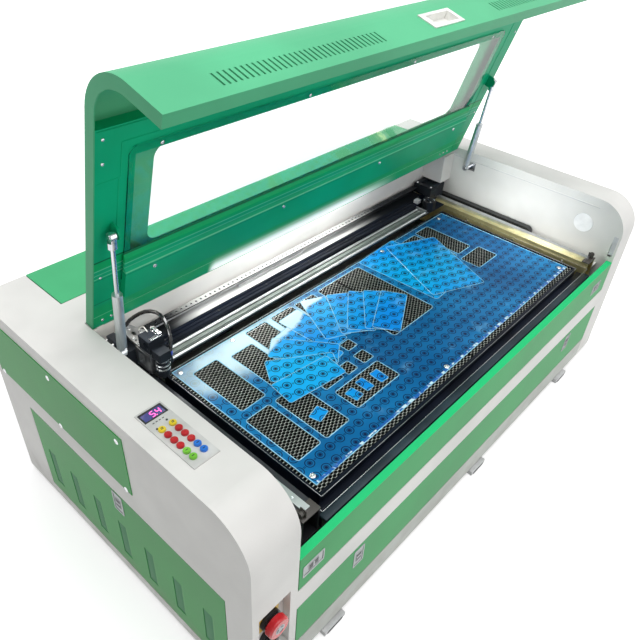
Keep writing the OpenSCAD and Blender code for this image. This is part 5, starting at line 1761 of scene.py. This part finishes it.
    def build_frame(self) -> None:
        """Makes thin bright strips round the bed frame's outer and inner edge, painted
        highlights, and the tray.
        """
        lines = Piece("bed_frame_edges", "cabinet")
        lo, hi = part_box("bed_frame")
        # painted highlight: a thin bright strip along each side of the frame
        for inset, width in self.frame_highlights:
            x0, x1, y0, y1 = lo.x + inset, hi.x - inset, lo.y + inset, hi.y - inset
            for a, b in (((x0, y0), (x1, y0 + width)), ((x0, y1 - width), (x1, y1)),
                         ((x0, y0), (x0 + width, y1)), ((x1 - width, y0), (x1, y1))):
                lines.add(bar((*a, hi.z - 0.0002), (*b, hi.z + 0.0003), 0.0001), Tone.STEEL)
        lines.make()
        under = Piece("scrap_tray", "cabinet")
        under.add(block(*self.tray_size, 0.004, 0.0004).placed(self.tray), Tone.SATIN)
        under.make()

    def build(self) -> None:
        """Makes the comb, the film's parts and the frame's."""
        self.build_comb()
        self.build_film()
        self.build_frame()


@dataclass
class BeamTrim:
    """What rides with the gantry: belt and pulley, screws, dark discs of painted shade in the
    tray's holes, mirror and sensor.
    """

    beam_top: float = 0.367
    belt_x: tuple = (-0.4975, 0.4760)
    belt_y: float = 0.1300
    belt_z: tuple = (0.3532, 0.3580)
    belt_half: float = 0.0007
    run: float = 0.0085
    pulley: Point = (-0.4978, 0.130, 0.3525)
    screws: int = 7
    screw_span: float = 0.44
    screw_y: float = 0.1625
    end_xs: tuple = (-0.5465, -0.4905, 0.5255, 0.5815)
    end_ys: tuple = (0.157, 0.205)
    end_z: float = 0.395
    motor: Point = (0.4815, 0.1295, 0.380)
    motor_pitch: float = 0.010
    # dark discs of painted shade over the tray's holes
    hole_shades: int = 74
    hole_shade_pitch: float = 0.0135
    first_hole_shade: Point = (-0.4715, 0.2025, 0.386)
    mirror_x: float = -0.543
    mirror_y: float = 0.176
    sensor: tuple = ((0.4555, 0.1505, 0.3668), (0.4720, 0.1660, 0.3770))
    lead: tuple = ((0.469, 0.160, 0.374), (0.476, 0.162, 0.376), (0.484, 0.168, 0.3745),
                   (0.494, 0.177, 0.3685))

    def build_belt(self) -> None:
        """Makes the belt's two runs and the pulley at its left end."""
        belt = Piece("x_belt", "gantry")
        for dy in (-self.run, self.run):
            y = self.belt_y + dy
            belt.add(bar((self.belt_x[0], y - self.belt_half, self.belt_z[0]),
                         (self.belt_x[1], y + self.belt_half, self.belt_z[1])), Tone.WEB)
        belt.add(spin([(0, 0), (0.0082, 0), (0.0082, 0.0008), (0.0072, 0.0008),
                       (0.0072, 0.0072), (0.0082, 0.0072), (0.0082, 0.008),
                       (0.003, 0.008), (0, 0.0085)], 24).placed(self.pulley), Tone.STEEL)
        belt.make()

    def build_screws(self) -> None:
        """Makes the beam's screws, those of its two ends and the motor's four."""
        bolts = Piece("beam_screws", "gantry")
        for x in np.linspace(-self.screw_span, self.screw_span, self.screws):
            bolts.add(screw(0.0024, 0.0008).placed((x, self.screw_y, self.beam_top - 0.0002)),
                      Tone.BLACK_PLASTIC)
        for x in self.end_xs:
            for y in self.end_ys:
                bolts.add(screw(0.0035, 0.0022).placed((x, y, self.end_z)), Tone.SCREW)
        for sy in (-1, 1):
            for sx in (-1, 1):
                place = np.add(self.motor, (sx * self.motor_pitch, sy * self.motor_pitch, 0))
                bolts.add(screw(0.0024, 0.0018).placed(place), Tone.SCREW)
        bolts.make()

    def build_hole_shades(self) -> None:
        """Makes the row of small dark discs in the tray's flange, painted shade in its holes.
        """
        hole_shades = Piece("tray_plugs", "gantry")
        hole_shade = disc(0.0024, 0.0004, 0.0003, 12)
        x, y, z = self.first_hole_shade
        for k in range(self.hole_shades):
            # painted shade: a dark disc over each hole
            hole_shades.add(hole_shade.placed((x + self.hole_shade_pitch * k, y, z)), Tone.BLACK)
        hole_shades.make()

    def build_mirror(self) -> None:
        """Makes the mirror's block, its round face and three adjusting screws behind it."""
        mirror = Piece("gantry_mirror", "gantry")
        x, y, z = self.mirror_x, self.mirror_y, self.end_z
        mirror.add(block(0.018, 0.030, 0.030, 0.002, 0.0008).placed((x, y, z)), Tone.SATIN)
        mirror.add(spin([(0, 0), (0.0095, 0), (0.0095, 0.001), (0.0085, 0.0015),
                         (0, 0.0015)], 24).placed((x + 0.009, y, z + 0.016), RIGHT),
                   Tone.COPPER)
        knob = spin([(0, 0), (0.0022, 0), (0.0022, 0.007), (0.0015, 0.008), (0, 0.008)], 10)
        for dy, dz in ((-0.010, 0.024), (0.010, 0.024), (-0.010, 0.006)):
            mirror.add(knob.placed((x - 0.009, y + dy, z + dz), LEFT), Tone.SCREW)
        mirror.make()

    def build_sensor(self) -> None:
        """Makes the small sensor beside the motor with its lead."""
        sensor = Piece("beam_sensor", "gantry")
        sensor.add(bar(*self.sensor), Tone.CAP_GREY)
        sensor.add(tube(smooth_path(self.lead), 0.0012, 6), Tone.CHAIN)
        sensor.make()

    def build(self) -> None:
        """Makes every group in order."""
        self.build_belt()
        self.build_screws()
        self.build_hole_shades()
        self.build_mirror()
        self.build_sensor()


@dataclass
class HeadTrim:
    """What rides with the head: adjusters, screws, hose fittings, wire and nozzle rings.

    A place is given from the middle of the carriage plate's front, at (x, y, z).
    """

    x: float = -0.500
    y: float = 0.113
    z: float = 0.404
    knob_dys: tuple = (-0.006, 0.004, 0.014)
    teeth: int = 9
    tooth_pitch: float = 0.0026
    plate_screws: tuple = ((-0.011, 0.030), (0.017, 0.030), (-0.009, 0.052), (0.0, 0.080),
                           (0.012, 0.0565))
    plate_top: float = 0.006
    axis_y: float = -0.027
    elbow_x: float = 0.018
    wire: tuple = ((0.012, 0.064, 0.0065), (0.013, 0.060, 0.016), (0.010, 0.042, 0.030),
                   (0.004, 0.028, 0.039), (0.001, 0.014, 0.0395))
    rings: tuple = ((-0.006, 0.0128), (-0.016, 0.0145), (-0.0255, 0.0142))

    def near(self, dx: float, dy: float, dz: float) -> Point:
        """A place given from the head's own middle."""
        return (self.x + dx, self.y + dy, self.z + dz)

    def build_adjusters(self) -> None:
        """Makes three turned knobs and the short comb of teeth before them."""
        knobs = Piece("head_adjusters", "head")
        knob = spin([(0, 0), (0.0046, 0), (0.0046, 0.0012), (0.0040, 0.0016),
                     (0.0040, 0.0052), (0.0046, 0.0056), (0.0046, 0.0072),
                     (0.0030, 0.0078), (0, 0.0078)], 16)
        for dy in self.knob_dys:
            knobs.add(knob.placed(self.near(0.013, dy, 0.036)), Tone.SCREW)
        for k in range(self.teeth):
            dx = self.tooth_pitch * k
            knobs.add(bar(self.near(dx - 0.010, -0.0124, 0.0362),
                          self.near(dx - 0.0085, -0.0050, 0.0388), 0.0003), Tone.SCREW)
        knobs.make()

    def build_plate(self) -> None:
        """Makes the screws of the carriage plate."""
        plate = Piece("head_plate_screws", "head")
        for dx, dy in self.plate_screws:
            plate.add(screw(0.0034, 0.0024).placed(self.near(dx, dy, self.plate_top)),
                      Tone.SCREW)
        plate.make()

    def build_fittings(self) -> None:
        """Makes the ring at the hose's rear end, and its blue collar and nut at the head."""
        clip = Piece("hose_fittings", "head")
        clip.add(hoop(0.0122, 0.0122, 0.0061, 0.0021, 0.005).placed(
            self.near(0.0, 0.090, self.plate_top)), Tone.STEEL)
        clip.add(spin([(0.0042, 0), (0.0064, 0), (0.0064, 0.0062), (0.0052, 0.0074),
                       (0.0042, 0.0074), (0.0042, 0)], 20).placed(
            self.near(self.elbow_x, self.axis_y, -0.002)), Tone.BLUE_FITTING)
        clip.add(spin([(0, 0), (0.0060, 0), (0.0060, 0.004), (0.0050, 0.004),
                       (0.0050, 0.0065), (0.0060, 0.0065), (0.0060, 0.008), (0, 0.008)],
                      6).placed(self.near(self.elbow_x, self.axis_y, -0.012)), Tone.STEEL)
        clip.make()

    def build_wire(self) -> None:
        """Makes the thin wire from the plate up to the knobs."""
        wire = Piece("head_wire", "head")
        wire.add(tube(smooth_path([self.near(*place) for place in self.wire]), 0.0013, 8),
                 Tone.WHITE_PLASTIC)
        wire.make()

    def build_nozzle(self) -> None:
        """Makes the rings round the nozzle, each with its crest at its radius."""
        nozzle = Piece("nozzle_rings", "head")
        for dz, r in self.rings:
            nozzle.add(spin([(r - 0.0012, 0), (r, 0.0006), (r, 0.0024),
                             (r - 0.0012, 0.003), (r - 0.003, 0.003), (r - 0.003, 0),
                             (r - 0.0012, 0)], 28).placed(self.near(0.0, self.axis_y, dz)),
                       Tone.STEEL)
        nozzle.make()

    def build(self) -> None:
        """Makes every group in order."""
        self.build_adjusters()
        self.build_plate()
        self.build_fittings()
        self.build_wire()
        self.build_nozzle()


@dataclass
class RailTrim:
    """Bolts on the guides, the belts along the rails and the idlers at their ends.

    A belt is (its x, the side to which its idler's cheek lies, as 1 or -1).
    """

    guides: tuple = (-0.532, 0.567)
    y0: float = -0.325
    y1: float = 0.140
    bolt_pitch: float = 0.060
    bolt_z: float = 0.358
    side_ys: tuple = (-0.27, -0.12, 0.03)
    side_z: float = 0.330
    sides: tuple = ((0.545, LEFT), (-0.510, RIGHT))
    belts: tuple = ((-0.5475, 1), (0.5825, -1))
    belt_y: tuple = (-0.318, 0.146)
    belt_half: float = 0.003
    rail_top: float = 0.3500

    def build_bolts(self) -> None:
        """Makes the bolts down both guides and in the rails' inner sides."""
        bolts = Piece("guide_bolts", "cabinet")
        for x in self.guides:
            for y in np.arange(self.y0 + self.bolt_pitch / 2, self.y1, self.bolt_pitch):
                bolts.add(screw(0.0024, 0.0002).placed((x, y, self.bolt_z)), Tone.SCREW)
        for y in self.side_ys:
            for x, facing in self.sides:
                bolts.add(screw(0.0034, 0.0020).placed((x, y, self.side_z), facing),
                          Tone.SCREW)
        bolts.make()

    def build_belts(self) -> None:
        """Makes the belts that lie on both rails."""
        belts = Piece("y_belts", "cabinet")
        for x, _ in self.belts:
            belts.add(bar((x - self.belt_half, self.belt_y[0], self.rail_top),
                          (x + self.belt_half, self.belt_y[1], self.rail_top + 0.0002)),
                      Tone.BELT)
        belts.make()

    def build_idlers(self) -> None:
        """Makes each front idler: a foot, the flanged wheel and an upright cheek."""
        ends = Piece("belt_idlers", "cabinet")
        wheel = spin([(0, 0), (0.0062, 0), (0.0062, 0.001), (0.005, 0.001),
                      (0.005, 0.007), (0.0062, 0.007), (0.0062, 0.008), (0, 0.008)], 20)
        for x, s in self.belts:
            ends.add(bar((x - 0.0045, -0.3375, self.rail_top + 0.0003),
                         (x + 0.0045, -0.3195, self.rail_top + 0.0035)), Tone.END_CAP)
            ends.add(wheel.placed((x - 0.004 * s, -0.3290, self.rail_top + 0.0100),
                                  (s, 0.0, 0.0)), Tone.END_CAP)
            ends.add(bar((x + s * 0.0046, -0.3360, self.rail_top),
                         (x + s * 0.0066, -0.3220, self.rail_top + 0.0180)), Tone.END_CAP)
        ends.make()

    def build(self) -> None:
        """Makes the bolts, the belts and the idlers."""
        self.build_bolts()
        self.build_belts()
        self.build_idlers()


# ------------------------------------------------------------------ the studio


@dataclass(frozen=True)
class Lamp:
    """One soft lamp: where it hangs, what it points at, its sides, watts and spread."""

    name: str
    place: Point
    aim: Point
    sides: tuple[float, float]
    power: float
    spread: float = math.pi

    def build(self) -> None:
        """Makes the lamp as a rectangle whose face looks at its aim."""
        data = bpy.data.lights.new(self.name, "AREA")
        data.shape = "RECTANGLE"
        data.size, data.size_y = self.sides
        data.energy, data.spread = self.power, self.spread
        lamp = bpy.data.objects.new(self.name, data)
        bpy.context.scene.collection.objects.link(lamp)
        lamp.location = self.place
        look = Vector(self.aim) - Vector(self.place)
        lamp.rotation_euler = look.to_track_quat("-Z", "Y").to_euler()


@dataclass
class Studio:
    """Floor, backdrop of plain white, lamps and the camera.

    The camera's heading, tilt and roll are turns in radians.
    """

    eye: Point = (-1.0154, -0.7301, 1.2358)
    heading: float = -0.878
    tilt: float = 0.909
    roll: float = 0.067
    lens: float = 36.04
    floor_half: float = 9.0
    floor_grey: float = 0.80
    sky: float = 0.30
    lift: float = 0.50
    fade: tuple = (1.3, 3.2)
    lamps: tuple[Lamp, ...] = (
        Lamp("lamp_top", (-0.2, -0.2, 3.2), (0.0, 0.0, 0.4), (3.0, 3.0), 88.0),
        Lamp("lamp_front", (0.8, -3.2, 1.5), (0.0, 0.0, 0.4), (2.2, 2.2), 26.0),
        Lamp("lamp_bar", (-0.14, 0.168, 0.483), (-0.10, -0.10, 0.10), (0.88, 0.016), 0.6),
        Lamp("lamp_right", (0.28, -0.12, 0.50), (0.62, -0.10, 0.41), (0.16, 0.16), 0.3, 1.5),
        Lamp("lamp_wall", (-0.02, 0.196, 0.486), (-0.02, 0.217, 0.42), (0.62, 0.012), 0.32))

    def floor_material(self) -> bpy.types.Material:
        """The floor's finish: grey as light, lifted to white where it is seen from afar.

        Returns:
            The material.
        """
        g = Graph("finish_floor")
        seen = 0.0
        for kind in ("Is Camera Ray", "Is Transmission Ray", "Is Glossy Ray"):
            seen = g.add("ShaderNodeLightPath", {}, {}, kind).top(seen)
        grain = g.noise(3.0)
        x, y = g.axes()[:2]
        away = ((x * x + y * y) ** 0.5).step(*self.fade)
        shown = g.mix(away, (self.lift,) * 3, (1.0, 1.0, 1.0))
        grey = (self.floor_grey,) * 3
        return g.finish(Base_Color=g.mix(grain, grey, toned(grey, 0.985)),
                        Roughness=0.55, Emission_Strength=1.0,
                        Emission_Color=g.mix(seen, NONE, shown))

    def build_floor(self) -> None:
        """Makes the pale floor."""
        rows = np.linspace(-self.floor_half, self.floor_half, 3)
        x, y = np.meshgrid(rows, rows, indexing="ij")
        mesh = bpy.data.meshes.new("studio_floor")
        mesh.from_pydata(np.stack([x, y, 0 * x], -1).reshape(-1, 3).tolist(), [],
                         [tuple(reversed(f)) for f in grid_faces(3, 3, False).tolist()])
        mesh.materials.append(self.floor_material())
        floor = bpy.data.objects.new("studio_floor", mesh)
        bpy.context.scene.collection.objects.link(floor)

    def build_world(self) -> None:
        """Makes a plain sky: white where the camera looks, softer as light."""
        world = bpy.data.worlds.new("studio")
        world.use_nodes = True
        tree = world.node_tree
        back = tree.nodes["Background"]
        path = tree.nodes.new("ShaderNodeLightPath")
        reach = tree.nodes.new("ShaderNodeMapRange")
        reach.inputs[3].default_value, reach.inputs[4].default_value = self.sky, 1.0
        seen = path.outputs["Is Camera Ray"]
        for name in ("Is Transmission Ray", "Is Glossy Ray"):
            top = tree.nodes.new("ShaderNodeMath")
            top.operation = "MAXIMUM"
            tree.links.new(seen, top.inputs[0])
            tree.links.new(path.outputs[name], top.inputs[1])
            seen = top.outputs[0]
        tree.links.new(seen, reach.inputs[0])
        tree.links.new(reach.outputs[0], back.inputs["Strength"])
        back.inputs["Color"].default_value = (1.0, 1.0, 1.0, 1.0)
        bpy.context.scene.world = world

    def build_camera(self) -> None:
        """Makes the camera: turned by its heading, then its tilt and a slight roll."""
        data = bpy.data.cameras.new("camera")
        data.lens, data.sensor_width = self.lens, 36.0
        camera = bpy.data.objects.new("camera", data)
        bpy.context.scene.collection.objects.link(camera)
        turn = (Matrix.Rotation(self.heading, 4, "Z") @ Matrix.Rotation(self.tilt, 4, "X")
                @ Matrix.Rotation(self.roll, 4, "Z"))
        camera.matrix_world = Matrix.Translation(self.eye) @ turn
        bpy.context.scene.camera = camera

    def build(self) -> None:
        """Makes the whole studio."""
        self.build_camera()
        self.build_floor()
        self.build_world()
        for lamp in self.lamps:
            lamp.build()
        bpy.context.scene.view_settings.view_transform = "Standard"


def main() -> None:
    """Builds the studio and every group of pieces in order."""
    Studio().build()
    dress_nodes()
    for group in (LidTrim(), LatchTrim(), CabinetTrim(), KeypadTrim(), StopTrim(),
                  BedTrim(), BeamTrim(), HeadTrim(), RailTrim()):
        group.build()
        log.info("built %s", type(group).__name__)


if __name__ == "__main__":
    main()
